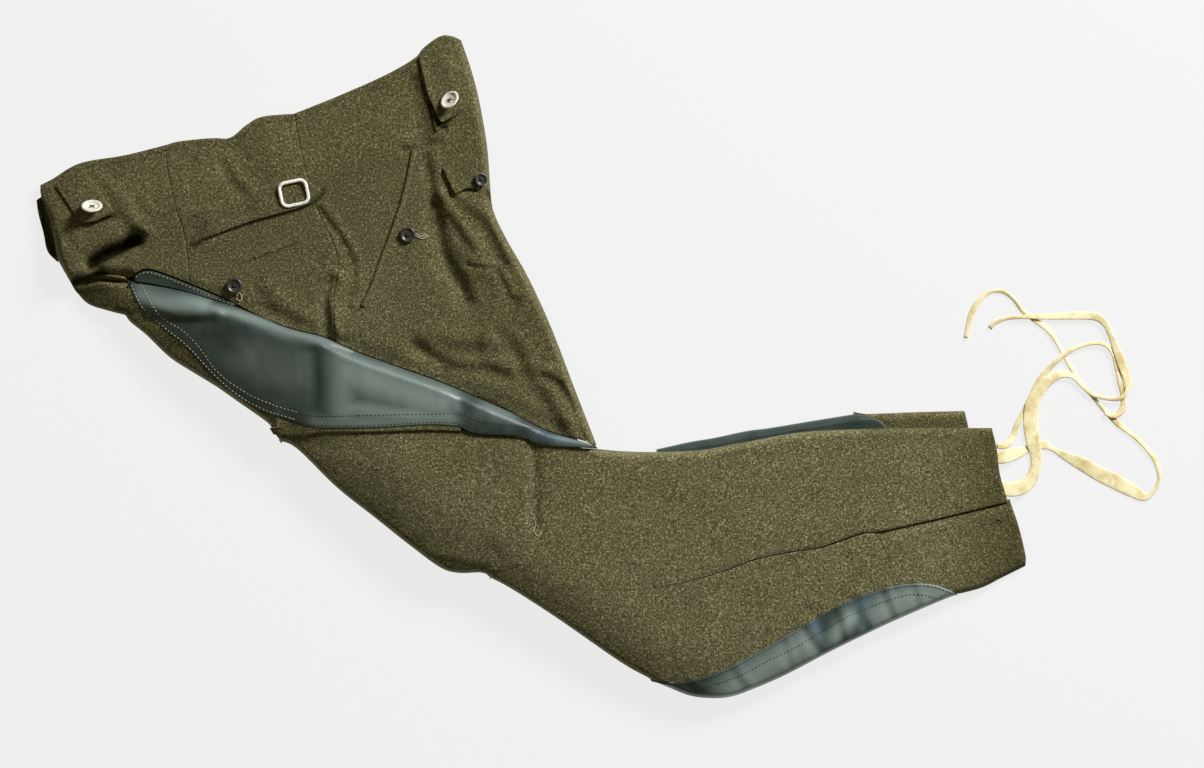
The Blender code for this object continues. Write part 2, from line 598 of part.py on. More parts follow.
def seat_and_thigh(cloth, leather, collection):
    """The cloth strip of the left seat, and the leather of the inner thigh beside it."""
    strip_first = guide((SEAT_EDGE + LEATHER_SEAT[:1], 4), (LEATHER_SEAT, 12), (LEATHER_THIGH, 12))
    strip_last = guide((SEAT_OUTLINE_TOP, 4), (SEAT_OUTLINE, 12), (LAP_EDGE, 12))
    strip = drawn_in(patch(strip_first, strip_last, 3, last_roll=LOWER_ROLL), last=LAP_GAP)
    wall("left_seat", strip, thigh_height(strip), CLOTH_WALL, cloth, collection)
    first = guide((THIGH_FOLD_SEAT, 12), (THIGH_FOLD_MIDDLE, 12), (THIGH_FOLD_KNEE, 9))
    last = guide((LEATHER_SEAT, 12), (LEATHER_THIGH, 12), (LEATHER_KNEE, 9))
    last[0] += LEATHER_START_SHIFT
    first[-1] += LEATHER_END_SHIFT
    plan = drawn_in(patch(first, last, 8, first_roll=THIGH_ROLL), first=0.0, last=LEATHER_GAP)
    wall("left_thigh_leather", plan, thigh_height(plan) + LEATHER_RAISE, LEATHER_WALL, leather, collection)
    plan = patch(guide((RIGHT_STRIP_TOP, 8)), guide((RIGHT_STRIP_LOW, 8)), 2)
    plan = drawn_in(plan, *RIGHT_STRIP_GAPS)
    wall("right_seat_leather", plan, hip_height(plan) + PATCH_RAISE, CLOTH_WALL, leather, collection)


def left_leg(cloth, leather, collection):
    """The left leg's outer panel, its calf and the leather at the calf."""
    first = guide((LAP_EDGE, 12), (LEATHER_KNEE, 9), (UPPER_FOLD, 25))
    last = guide((THIGH_OUTLINE, THIGH_STATIONS), (LEG_SIDE_SEAM, SEAM_STATIONS))
    first[0] += OUTER_TOP_SHIFT
    last[0] += OUTER_LOW_SHIFT
    outer = patch(first, last, 7, end=LEFT_HEM, first_roll=UPPER_ROLL, last_roll=LOWER_ROLL)
    below = np.where(np.arange(len(outer)) < THIGH_STATIONS, 0.0, SEAM_GAP / 2)
    outer = drawn_in(outer, last=below, start=0.0, end=0.0)
    wall("left_leg_outer", outer, leg_height(outer), CLOTH_WALL, cloth, collection)
    last = guide((CALF_OUTLINE_TOP, 10), (LEATHER_CALF, 17), (CALF_OUTLINE_HEM, 4))
    seam = guide((LEG_SIDE_SEAM, SEAM_STATIONS))
    seam[0] += CALF_TOP_SHIFT
    last[0] += CALF_LOW_SHIFT
    calf = patch(seam, last, 6, end=PLACKET_HEM, last_roll=LOWER_ROLL)
    calf = drawn_in(calf, start=0.0, end=0.0)
    wall("left_calf", calf, leg_height(calf), CLOTH_WALL, cloth, collection)
    outline = guide((CALF_OUTLINE, 17))
    outline[0] += CALF_LEATHER_SHIFT
    plan = patch(guide((LEATHER_CALF, 17)), outline, 2, last_roll=LOWER_ROLL)
    plan = drawn_in(plan, first=CALF_LEATHER_GAP, last=0.0)
    wall("left_calf_leather", plan, leg_height(plan) + CALF_LEATHER_RAISE, CLOTH_WALL, leather, collection)
    under = patch(guide((UNDER_HEM_TOP, 3)), guide((UNDER_HEM_LOW, 3)), 8, end=UNDER_HEM_EDGE)
    heights = np.full(under.shape[:-1], UNDER_HEM_HEIGHT)
    wall("left_hem_under", under, heights, CLOTH_WALL, cloth, collection)


def right_calf(cloth, leather, collection):
    """The strip of the right calf above the left leg, leather and then cloth."""
    plan = patch(guide((RIGHT_CALF_OUTLINE, 14)), guide((RIGHT_CALF_INNER, 14)), 2,
                 end=RIGHT_LEATHER_END, first_roll=RIGHT_CALF_ROLL)
    plan = drawn_in(plan, first=0.0)
    wall("right_calf_leather", plan, right_calf_height(plan), CLOTH_WALL, leather, collection)
    plan = patch(guide((RIGHT_CALF_OUTLINE_HEM, 6)), guide((RIGHT_CALF_INNER_HEM, 6)), 2,
                 start=RIGHT_CLOTH_END, first_roll=RIGHT_CALF_ROLL)
    plan = drawn_in(plan, first=0.0, start=FOLD_GAP)
    wall("right_calf_hem", plan, right_calf_height(plan), CLOTH_WALL, cloth, collection)


# Flat pieces on the hip: the plan lines of two opposite edges, the cells along and across, how far
# the piece is lifted, and how far the last edge curls up
Trim = namedtuple("Trim", "name first last along across lift curl")
TRIMS = (
    Trim("left_belt_tab", ((55, 186), (80, 165.5)), ((83, 223), (116, 213.5)), 4, 7, 0.0, 3.0),
    Trim("right_belt_tab_end", ((430, 108), (445, 103)), ((436, 133), (446, 126)), 2, 3, 0.0, 0.0),
    Trim("right_belt_tab", ((419, 57), (440, 37.5), (459, 39)), ((441, 124), (456, 116), (469, 104)),
         5, 10, TRIM_WALL + LIE_GAP, 2.5),
    Trim("adjuster_strap", ((184, 212), (250, 191), (300, 176), (310, 182)),
         ((194, 243), (250, 222), (308, 205), (322, 192)), 12, 2, 0.0, 0.0),
    Trim("watch_pocket_flap", ((442, 168), (456, 156), (477, 154)), ((455, 195), (468, 189), (480, 190)),
         5, 5, 1.3, 0.0),
    Trim("hip_pocket_welt", ((253, 255), (289, 241), (301, 236)), ((255, 260), (291, 246), (303, 241)),
         4, 1, 0.0, 0.0),
    Trim("slash_pocket_edge", ((412, 150), (404, 190), (393, 225), (382, 255), (371, 285), (361, 306)),
         ((417, 151), (409, 190), (398, 225), (387, 255), (376, 285), (366, 308)), 14, 1, 0.0, 0.0),
)
# Reach over which an edge curls up
CURL_REACH = 11.0


def hip_trims(finish, collection):
    """Tabs, strap, flap and pocket edges, each made from the hip's own surface moved out."""
    for trim in TRIMS:
        plan = patch(guide((trim.first, trim.along)), guide((trim.last, trim.along)), trim.across)
        curled = np.exp(-((distance_to(trim.last, plan) / CURL_REACH) ** 2))
        heights = hip_height(plan) + LIE_GAP + TRIM_WALL + trim.lift + trim.curl * curled
        wall(trim.name, plan, heights, TRIM_WALL, finish, collection)


# Plan place, diameter, tilt in degrees, the direction that the raised side faces, and height above the hip
Button = namedtuple("Button", "name x y diameter tilt turn stand")
BUTTONS = (
    Button("white_button_left", 93, 208, 21.0, 55, -90, 8.7),
    Button("white_button_right", 451, 101.5, 20.5, 45, -135, 9.1),
    Button("dark_button_hip", 235, 286, 15.6, 0, 0, LIE_GAP),
    Button("dark_button_pocket", 408, 235, 15.5, 0, 0, LIE_GAP),
    Button("dark_button_flap", 481, 180, 13.0, 12, 0, 3.7),
)
# The turned button's section: share of the radius, height
BUTTON_PROFILE = (
    (0.0, 1.7), (0.62, 1.7), (0.74, 3.0), (0.92, 3.0), (1.0, 1.9), (0.9, 0.4), (0.7, 0.0), (0.0, 0.0),
)
BUTTON_SIDES = 14
BUTTON_MERGE = 0.00001


def button(row, finish, collection):
    """A turned button: a flat back, a rounded rim and a sunk middle."""
    radius = row.diameter / 2
    shape = bmesh.new()
    line = [shape.verts.new((radius * share * MM, 0.0, height * MM)) for share, height in BUTTON_PROFILE]
    for a, b in zip(line[:-1], line[1:]):
        shape.edges.new((a, b))
    mesh = bpy.data.meshes.new(row.name)
    shape.to_mesh(mesh)
    shape.free()
    made = new_object(row.name, mesh, finish, collection)
    turned = made.modifiers.new("turned", "SCREW")
    turned.steps = BUTTON_SIDES
    turned.render_steps = BUTTON_SIDES
    turned.use_merge_vertices = True
    turned.merge_threshold = BUTTON_MERGE
    spot = np.array([[row.x, row.y]], float)
    place = in_metres(spot, hip_height(spot) + row.stand)[0]
    made.location = place
    made.rotation_euler = (0.0, math.radians(row.tilt), math.radians(-row.turn))
    return made


BUCKLE_CENTRE = (294.5, 193.5)
BUCKLE_SIZE = (27.0, 23.5)
BUCKLE_CORNER = 6.5
BUCKLE_TURN = 12.0
BUCKLE_WIRE = 3.4
BUCKLE_CORNER_STEPS = 4


def buckle(finish, collection):
    """The rounded wire frame of the adjuster buckle, lying on its strap."""
    wide, high = (size / 2 - BUCKLE_CORNER for size in BUCKLE_SIZE)
    turn = math.radians(BUCKLE_TURN)
    curve = bpy.data.curves.new("buckle_frame", "CURVE")
    curve.dimensions = "3D"
    curve.bevel_depth = BUCKLE_WIRE / 2 * MM
    curve.bevel_resolution = 2
    spline = curve.splines.new("POLY")
    outline = []
    for corner, (sx, sy) in enumerate(((1, 1), (-1, 1), (-1, -1), (1, -1))):
        for step in range(BUCKLE_CORNER_STEPS):
            angle = math.pi / 2 * (corner + step / (BUCKLE_CORNER_STEPS - 1))
            x = sx * wide + BUCKLE_CORNER * math.cos(angle)
            y = sy * high + BUCKLE_CORNER * math.sin(angle)
            across_x = x * math.cos(turn) - y * math.sin(turn)
            across_y = x * math.sin(turn) + y * math.cos(turn)
            outline.append((BUCKLE_CENTRE[0] + across_x, BUCKLE_CENTRE[1] - across_y))
    plan = np.array(outline)
    stand = LIE_GAP * 2 + TRIM_WALL + BUCKLE_WIRE / 2
    places = in_metres(plan, hip_height(plan) + stand)
    spline.points.add(len(places) - 1)
    for point, place in zip(spline.points, places):
        point.co = (*place, 1.0)
    spline.use_cyclic_u = True
    made = bpy.data.objects.new("buckle_frame", curve)
    curve.materials.append(finish)
    collection.objects.link(made)
    return made


# Routes of the cotton tapes, laid down by hand: plan x and y, height of the upper side, width
TAPE_UPPER = (
    (998, 487, 6.6, 14), (1008, 489, 6.4, 15), (1020, 488, 5.0, 15), (1030, 481, 3.8, 13),
    (1036, 468, 3.2, 11), (1036, 454, 3.0, 12), (1033, 440, 3.0, 14), (1031, 422, 3.0, 15),
    (1033, 404, 3.0, 14), (1040, 390, 3.0, 12), (1051, 379, 3.0, 10), (1063, 374, 3.0, 8),
    (1074, 377, 3.0, 5), (1083, 386, 3.0, 4.5), (1092, 394, 3.2, 4), (1104, 398, 4.2, 4),
    (1119, 399, 4.6, 4), (1127, 392, 4.6, 5), (1128, 380, 4.6, 8), (1123, 366, 4.6, 9),
    (1117, 350, 4.6, 8), (1111, 335, 4.4, 6), (1106, 324, 4.0, 7), (1097, 317, 3.4, 8),
    (1082, 315.5, 3.0, 8), (1062, 316, 3.0, 7), (1042, 316.5, 3.0, 6), (1024, 317, 3.0, 4),
    (1008, 318, 2.2, 4), (996, 322, 1.5, 5), (990, 328, 1.5, 5),
)
TAPE_LOWER = (
    (995, 458, 6.6, 12), (1004, 457, 5.6, 13), (1015, 454, 3.4, 12), (1026, 450, 1.5, 8),
    (1036, 446, 1.5, 7), (1045, 445, 1.5, 9), (1053, 449, 1.5, 5), (1066, 456, 1.5, 9),
    (1082, 464, 1.5, 13), (1100, 474, 1.5, 15), (1118, 483, 1.5, 15), (1133, 491, 1.5, 13),
    (1145, 497, 1.5, 8), (1154, 492, 1.5, 4), (1160, 479, 1.5, 4), (1157, 463, 1.5, 5),
    (1148, 449, 1.5, 5), (1134, 436, 1.5, 4), (1119, 424, 1.5, 6), (1107, 413, 1.5, 4),
    (1097, 401, 1.5, 4), (1086, 388, 1.5, 4), (1074, 372, 1.5, 4), (1065, 356, 1.5, 4),
    (1056, 340, 1.5, 4), (1047, 328, 1.5, 6), (1035, 320, 1.5, 5), (1023, 311, 1.5, 4),
    (1014, 299, 1.5, 4), (1003, 291.5, 1.5, 4), (990, 292, 1.5, 4), (979, 301, 1.5, 5),
    (972, 314, 1.5, 6), (969, 326, 1.5, 6), (966, 338, 1.5, 4),
)
TAPE_UNDER = (
    (997, 446, 6.6, 5), (1006, 445.5, 4.8, 6), (1013, 437, 2.0, 6), (1018, 424, 1.5, 6),
    (1025, 410, 1.5, 5), (1032, 396, 1.5, 5), (1038, 384, 1.5, 6), (1047, 371, 2.2, 6),
    (1057, 361, 3.0, 5), (1068, 352, 3.0, 5), (1081, 346, 3.0, 4), (1094, 343, 3.0, 4),
    (1106, 345, 3.0, 4), (1114, 354, 3.0, 5), (1118, 368, 3.0, 6), (1121, 383, 3.0, 6),
    (1124, 397, 3.0, 6), (1123, 409, 3.0, 7), (1115, 416, 3.0, 5), (1105, 413, 3.0, 4),
)
TAPE_STEP = 8.0


def tape(name, route, finish, collection):
    """A cotton tape lying free: its width across the route, flat on the surface or over another."""
    length = sum(math.dist(a[:2], b[:2]) for a, b in zip(route[:-1], route[1:]))
    line = smooth_line(route, round(length / TAPE_STEP))
    along = np.gradient(line[:, :2], axis=0)
    along /= np.linalg.norm(along, axis=1, keepdims=True)
    side = np.stack([along[:, 1], -along[:, 0]], axis=1) * line[:, 3:4] / 2
    plan = np.stack([line[:, :2] + side, line[:, :2] - side], axis=1)
    heights = np.repeat(line[:, 2:3], 2, axis=1)
    wall(name, plan, heights, TAPE_WALL, finish, collection)


# Finishes: name, linear base colour, roughness
FINISHES = (
    ("olive_wool", (0.105, 0.100, 0.042), 0.95),
    ("strapping_leather", (0.050, 0.072, 0.066), 0.5),
    ("white_button", (0.80, 0.79, 0.74), 0.3),
    ("dark_button", (0.028, 0.025, 0.023), 0.35),
    ("buckle_metal", (0.80, 0.80, 0.75), 0.35),
    ("cotton_tape", (0.74, 0.66, 0.42), 0.9),
)


def build():
    for leftover in list(bpy.data.objects):
        bpy.data.objects.remove(leftover, do_unlink=True)
    collection = bpy.data.collections.new("riding_breeches")
    bpy.context.scene.collection.children.link(collection)
    wool, leather, white, dark, metal, cotton = (material(*finish) for finish in FINISHES)
    hidden_layers(wool, collection)
    hip_panels(wool, collection)
    under_waist(wool, collection)
    seat_and_thigh(wool, leather, collection)
    left_leg(wool, leather, collection)
    right_calf(wool, leather, collection)
    hip_trims(wool, collection)
    for row in BUTTONS:
        button(row, white if row.name.startswith("white") else dark, collection)
    buckle(metal, collection)
    tape("tape_upper", TAPE_UPPER, cotton, collection)
    tape("tape_lower", TAPE_LOWER, cotton, collection)
    tape("tape_under", TAPE_UNDER, cotton, collection)


build()
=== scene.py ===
"""Looks of the riding breeches: milled wool, leather strapping, buttons, buckle, sewing and tapes.

Plan positions are millimetres of the laid-out garment, as in the CAD model: x runs from the waist
to the hem and y from the right leg's side down to the left leg's side. Heights are millimetres
above the floor. Finished meshes are in metres, in the frame of the CAD model.
"""

import math
from collections import namedtuple

import bpy
import numpy as np
from mathutils import Euler, Matrix, Vector, noise


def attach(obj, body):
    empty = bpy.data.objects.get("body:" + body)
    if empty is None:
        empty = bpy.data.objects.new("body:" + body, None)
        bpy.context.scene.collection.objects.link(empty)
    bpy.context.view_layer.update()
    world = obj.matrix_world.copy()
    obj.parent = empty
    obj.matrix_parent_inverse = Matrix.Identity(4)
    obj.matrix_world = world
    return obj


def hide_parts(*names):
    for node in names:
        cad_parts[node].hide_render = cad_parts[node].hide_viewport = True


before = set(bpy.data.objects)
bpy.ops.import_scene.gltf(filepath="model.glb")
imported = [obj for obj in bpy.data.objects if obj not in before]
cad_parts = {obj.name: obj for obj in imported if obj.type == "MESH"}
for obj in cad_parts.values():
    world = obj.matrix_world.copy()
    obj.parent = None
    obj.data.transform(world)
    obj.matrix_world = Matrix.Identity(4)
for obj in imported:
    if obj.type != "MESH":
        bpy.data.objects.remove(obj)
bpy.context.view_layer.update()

MM = 0.001
PLAN_CENTRE = (531.0, 367.8)
BODY = "root"

# Fineness of the shells: steps along a panel for each step of its outline, and cell size across
FINE = 6
CELL = 2.6
# Steps on a smooth line between two given points: as it is laid out, along the garment's outline, on
# a fold and at a panel's end, and the rows that round an edge over
CURVE_STEPS = 16
OUTLINE_STEPS = 8
FOLD_STEPS = 5
END_STEPS = 60
ROLL_ROWS = 8
# The most of a row's length that one rounded edge takes, and the least that gaps leave of its width
ROLL_SHARE = 0.4
OPEN_SHARE = 0.2
NARROWEST_ROW = 0.5

# Walls and clearances, about as in the CAD model
CLOTH_WALL = 2.0
LEATHER_WALL = 2.2
TRIM_WALL = 1.6
FOLD_GAP = 1.2
LIE_GAP = 0.45
FLOOR_GAP = 1.4

# Heights of the folded garment
WAIST_EDGE_HEIGHT = 8.0
HIP_HEIGHT = 23.0
HIP_RISE = 75.0
LEFT_EDGE_HEIGHT = 7.0
UNDER_WAIST_HEIGHT = 4.4
UNDER_HEM_HEIGHT = 2.6
RIGHT_CALF_HEIGHT = 9.6
LEATHER_RAISE = 0.8
CALF_LEATHER_RAISE = 0.6
RIGHT_LEATHER_RAISE = 0.3
LAP_RAISE = 2.4
# How the hip dips along the thigh fold and at the seat crease: reach, depth
FOLD_DIP = (18.0, 3.0)
CREASE_DIP = (12.0, 7.0)
# How the leg's cloth dips under the edge of the leather (reach, depth), how far in from it the thigh
# levels out to its crown, and over which plan x it begins to
LAP_DIP = (14.0, 1.0)
LAP_REACH = 30.0
LAP_START = 268
LAP_RAMP = 10.0
SEAT_EDGE_HEIGHT = 6.4
SEAT_EDGE_ROLL = 6.0

# Radii that the folded edges round over
LEFT_EDGE_ROLL = 9.0
FRONT_ROLL = 7.0
UPPER_ROLL = 7.0
LOWER_ROLL = 5.0
THIGH_ROLL = 10.0
# Sewn or turned edge, cut edge of leather, and end of a strip
EDGE_ROLL = 2
CUT_ROLL = 1.5
END_ROLL = 1
# The slope inside the lower outline: steepness at its foot, and reach at the seat and by plan x
LOWER_SLOPE = 0.38
LOWER_REACH = (
    (270, 56), (380, 66), (450, 62), (520, 52), (600, 50), (700, 50), (780, 40), (900, 24), (1026, 12),
)
SEAT_SLOPE = 0.35
SEAT_REACH = 70.0
# Rounding of the thigh's ridge: plan x, radius
THIGH_ROLLS = ((131, 26), (230, 20), (330, 12), (597, 10))
RIGHT_CALF_ROLL = 8.0
# Where the left leg's upper fold begins, and the point of the left side where it lies on the floor
UPPER_FOLD_START = 560
LEFT_SIDE_TURN = 32
# Slow unevenness of the laid cloth: height, size of the bumps, layer of the noise
HIP_UNEVEN = ((0.6, 38.0, 0.0), (0.2, 13.0, 5.0))
LEG_UNEVEN = ((0.5, 42.0, 0.0), (0.22, 12.0, 5.0))
THIGH_UNEVEN = ((0.4, 45.0, 2.0), (0.15, 14.0, 7.0))
RIGHT_CALF_UNEVEN = ((0.3, 25.0, 0.0),)
UNDER_UNEVEN = ((0.25, 20.0, 0.0),)

# How a sewn seam and a turned edge dip: reach from the edge and depth at it
SEAM_DIP = (2.6, 0.9)
TURNED_DIP = (2.2, 1.5)
LEATHER_DIP = (1.5, 1.0)
UNDER_DIP = (2.0, 0.8)
NO_DIP = (0.0, 0.0)

# Crown of each leg from thigh to hem: plan x, height
LEG_CROWN = (
    (270, 34), (400, 38), (500, 37), (600, 33), (700, 28), (800, 24), (900, 20), (960, 15), (1008, 9),
    (1026, 8),
)
THIGH_CROWN = ((71, 16), (131, 27), (200, 33), (300, 38), (400, 40), (500, 39), (597, 34))
# Height that the upper fold of the left leg rolls down to: plan x, height
UPPER_FOLD_FOOT = ((598, 1.2), (640, 4.0), (664, 10.6), (970, 10.6), (992, 7.0))

# Deep folds, as in the CAD model: plan points, depth (negative for a ridge) and width. A pleat is
# a trough with a ridge beside it, on the side of PLEAT_SIDE.
Fold = namedtuple("Fold", "line depth width")
PLEAT_SIDE = (0.66, -0.75)
PLEAT_SHIFT = 0.7
HIP_FOLDS = (
    Fold(((92, 263), (105, 255), (120, 249), (136, 240)), 15.0, 6.5),
)
HIP_PLEATS = (
    Fold(((438, 202), (442, 217), (444, 240), (452, 263), (461, 278), (470, 298)), 3.2, 9.0),
    Fold(((453, 222), (461, 250), (474, 278)), 4.0, 16.0),
    Fold(((468, 208), (485, 222), (497, 242), (506, 260)), 2.6, 9.0),
    Fold(((418, 343), (440, 358), (460, 366), (485, 366), (508, 372)), 2.4, 8.0),
    Fold(((335, 280), (329, 300), (331, 320), (334, 336)), 3.2, 6.5),
    Fold(((517, 345), (528, 370), (545, 395), (558, 415), (568, 436)), 2.0, 9.0),
    Fold(((430, 340), (455, 347), (482, 345)), 3.0, 13.0),
    Fold(((520, 300), (514, 316), (503, 331)), 2.6, 7.0),
)
THIGH_FOLDS = (
    Fold(((318, 352), (318, 415)), 1.8, 9.0),
    Fold(((466, 394), (462, 426)), 2.6, 7.0),
    Fold(((190, 320), (230, 352)), 1.5, 12.0),
)
LEG_FOLDS = (
    Fold(((534, 453), (534, 490), (535, 526)), 3.0, 6.0),
    Fold(((290, 444), (350, 447), (440, 441)), 1.2, 8.0),
    Fold(((815, 618), (822, 648)), 2.0, 8.0),
    Fold(((862, 600), (868, 625)), 1.8, 8.0),
)

# Stations along the left leg's lower outline and then its side seam
THIGH_STATIONS = 15
SEAM_STATIONS = 31

# Plan lines of the garment
WAIST_LEFT = ((40, 185), (52, 179), (80, 163), (125, 155), (165, 145))
WAIST_BACK = ((165, 145), (180, 141), (211, 138), (230, 137.5), (246, 125), (262, 116.5), (294, 113.5))
WAIST_FRONT = ((294, 113.5), (340, 95), (387, 74), (415, 57.5), (423, 48), (440, 36), (452, 36), (461, 40))
LEFT_EDGE = ((40, 185), (41, 196), (48, 214), (54, 240), (58, 260), (71, 284))
CENTRE_BACK = ((165, 145), (168, 172), (177, 210), (186, 240), (190, 284))
SIDE_SEAM = ((294, 113.5), (303, 160), (317, 208), (333, 242), (338, 265), (334, 300), (335, 342))
FRONT_FOLD = (
    (461, 40), (471, 69), (479, 100), (487, 146), (490, 185), (493, 210), (507, 240),
    (528, 277), (551, 327), (574, 387), (597, 446),
)
SEAT_CREASE = ((71, 284), (100, 277), (127, 279.5), (142, 271), (155, 271), (190, 284))
RIGHT_STRIP_TOP = ((134, 277), (142, 271.5), (155, 271.5), (190, 284.5), (215, 295), (236, 303.5))
RIGHT_STRIP_LOW = ((135, 282), (155, 285), (183, 291), (210, 299), (236, 307))
THIGH_FOLD_SEAT = ((131, 280.5), (155, 285), (183, 291), (210, 299), (234, 306), (256, 315))
THIGH_FOLD_MIDDLE = ((256, 315), (288, 328), (320, 336), (335, 342), (352, 350), (387, 363), (430, 378))
THIGH_FOLD_KNEE = ((430, 378), (460, 390), (510, 412), (545, 430), (581, 441), (597, 446))
THIGH_FOLD_BACK = ((190, 284), (229, 300.5)) + THIGH_FOLD_MIDDLE[:4]
THIGH_FOLD_FRONT = THIGH_FOLD_MIDDLE[3:] + THIGH_FOLD_KNEE[1:]
SEAT_EDGE = ((74, 286), (100, 279), (127, 282))
SEAT_EDGE_UNDER = ((70, 282), (84, 279), (100, 275.5), (125, 278.5))
LEATHER_SEAT = ((129, 284), (141, 307), (164, 328), (187, 347), (210, 372), (233, 393), (261, 411))
LEATHER_THIGH = ((261, 411), (293, 422), (320, 428), (375, 428), (431, 425), (462, 427))
LEATHER_KNEE = ((462, 428), (478, 434), (524, 437), (535, 443), (560, 446), (598, 449))
SEAT_OUTLINE_TOP = ((75, 291), (88, 304), (109, 311), (125, 315))
SEAT_OUTLINE = (
    (125, 315), (130, 322), (146, 335), (169, 357), (192, 372), (215, 386), (238, 402), (261, 418),
    (270, 425),
)
LAP_EDGE = ((270, 425), (280, 434), (306, 436), (325, 433), (375, 432.5), (430, 431), (462, 432))
UPPER_FOLD = (
    (598, 449), (620, 451), (652, 452), (700, 450), (740, 443), (794, 433), (834, 430), (861, 429),
    (915, 428), (992, 428),
)
THIGH_OUTLINE = (
    (278, 440), (297, 449), (336, 487), (375, 518), (409, 545), (439, 567), (457, 573), (480, 572.5),
)
LEG_SIDE_SEAM = (
    (485, 573), (529, 582), (575, 587), (621, 589), (660, 586), (690, 580), (724, 570), (758, 558),
    (793, 551), (820, 547), (861, 533), (877, 532), (940, 518), (1008, 502),
)
LEFT_HEM = ((992, 428), (997, 450), (1000, 474), (1008, 502))
CALF_OUTLINE_TOP = ((489, 577), (513, 590), (558, 619), (620, 662), (650, 679))
LEATHER_CALF = (
    (650, 679), (674, 682), (706, 676), (738, 662), (781, 638), (807, 623), (848, 601), (888, 587),
    (915, 583), (936, 585), (958, 594),
)
CALF_OUTLINE = (
    (650, 680), (667, 687), (690, 696), (712, 698.5), (731, 697), (754, 689), (786, 675), (834, 650),
    (888, 624), (941, 601), (958, 594.5),
)
CALF_OUTLINE_HEM = ((958, 594.5), (982, 588), (1000, 579), (1026, 566))
PLACKET_HEM = ((1011, 503), (1019, 527), (1025.5, 554), (1026, 566))
RIGHT_CALF_OUTLINE = ((656, 449.5), (690, 442), (714, 438), (747, 431), (770, 428), (818, 420), (856, 414))
RIGHT_CALF_OUTLINE_HEM = ((861.5, 414), (882, 413.5), (920, 412), (965, 411))
RIGHT_CALF_INNER = ((660, 462), (700, 461), (740, 454), (794, 444), (834, 441), (880, 440), (896, 439))
RIGHT_CALF_INNER_HEM = ((901, 439), (930, 438.5), (971, 438))
RIGHT_LEATHER_END = ((856, 414), (869, 416), (882, 422), (896, 439))
RIGHT_CLOTH_END = ((861.5, 414), (875, 417), (888, 423), (901, 439))
UNDER_WAIST_TOP = (
    (36, 200), (52, 189), (80, 175), (125, 166), (180, 152), (230, 148), (262, 128), (300, 123), (340, 105),
    (387, 84), (440, 56), (450, 54),
)
UNDER_WAIST_INNER = ((57, 262), (90, 238), (173, 206), (297, 152), (387, 112), (458, 80))
UNDER_WAIST_END = ((36, 200), (38, 214), (43, 233), (47, 251), (57, 262))
UNDER_HEM_TOP = ((948, 438), (989, 434))
UNDER_HEM_LOW = ((976, 587), (1000, 576.2), (1021, 565.6))
UNDER_HEM_EDGE = ((989, 434), (994, 451), (997, 475), (1006, 505), (1015, 530), (1021, 565.6))

# Finer creases that only the shells have: plan points, depth (negative for a ridge) and width
HIP_CREASES = (
    Fold(((73, 282), (85, 280), (96, 275), (100, 270)), 3.5, 3.8),
    Fold(((103, 272), (109, 275)), 2.5, 3.2),
    Fold(((204, 201), (219, 203)), 0.8, 6.0),
    Fold(((262, 308), (285, 312), (312, 306)), 1.0, 9.0),
)
HIP_RUCKS = (
    Fold(((429, 156), (433, 176), (438, 200)), 2.0, 6.5),
    Fold(((444, 175), (450, 190), (458, 199)), 1.4, 4.0),
    Fold(((470, 264), (482, 266), (493, 267), (501, 274), (507, 285), (511, 296)), 1.2, 3.6),
    Fold(((452, 216), (462, 232), (474, 248)), 1.1, 5.0),
    Fold(((496, 298), (489, 315), (482, 335), (479, 352)), 0.9, 5.0),
    Fold(((545, 374), (560, 382), (573, 400), (581, 416), (589, 436)), 2.4, 6.0),
    Fold(((322, 208), (332, 222), (345, 240), (354, 258), (357, 272), (355, 290), (351, 306)), 1.2, 4.0),
    Fold(((348, 339), (360, 332), (375, 325), (387, 317)), 1.0, 4.0),
    Fold(((226, 163), (235, 180), (246, 191)), 1.4, 6.0),
    Fold(((196, 158), (197, 180), (195, 200)), 0.7, 6.0),
    Fold(((140, 200), (149, 213)), 0.7, 5.0),
    Fold(((134, 226), (150, 236)), 0.8, 4.5),
    Fold(((262, 288), (275, 305), (297, 318)), 1.3, 9.0),
    Fold(((405, 148), (418, 147), (430, 142), (442, 140)), 1.3, 4.0),
    Fold(((413, 75), (424, 108), (431, 140)), 1.6, 9.0),
    Fold(((104, 184), (113, 196)), 0.9, 5.0),
    Fold(((118, 205), (128, 222), (138, 238)), 1.4, 8.0),
    Fold(((480, 397), (500, 407), (520, 421), (550, 436), (580, 441)), 0.9, 5.0),
    Fold(((62, 222), (72, 236), (80, 248)), 0.7, 4.0),
)
THIGH_CREASES = (
    Fold(((300, 345), (304, 380), (300, 408)), 0.35, 3.5),
    Fold(((327, 350), (330, 382), (326, 410)), 0.35, 4.0),
    Fold(((215, 318), (250, 345), (262, 372)), 0.4, 6.0),
    Fold(((545, 431), (543, 440)), 1.0, 4.0),
    Fold(((487, 404), (492, 428)), -0.8, 5.0),
    Fold(((350, 352), (366, 380), (362, 408)), -0.4, 8.0),
    Fold(((400, 372), (398, 412)), 0.3, 7.0),
    Fold(((442, 388), (440, 414)), -0.5, 6.0),
)
THIGH_RUCKS = (
    Fold(((150, 312), (180, 319), (214, 317)), 2.2, 7.0),
    Fold(((317, 350), (320, 385), (316, 420)), 1.7, 8.0),
    Fold(((461, 392), (464, 410), (460, 426)), 1.2, 5.0),
    Fold(((538, 428), (545, 436), (546, 444)), 0.9, 4.5),
)
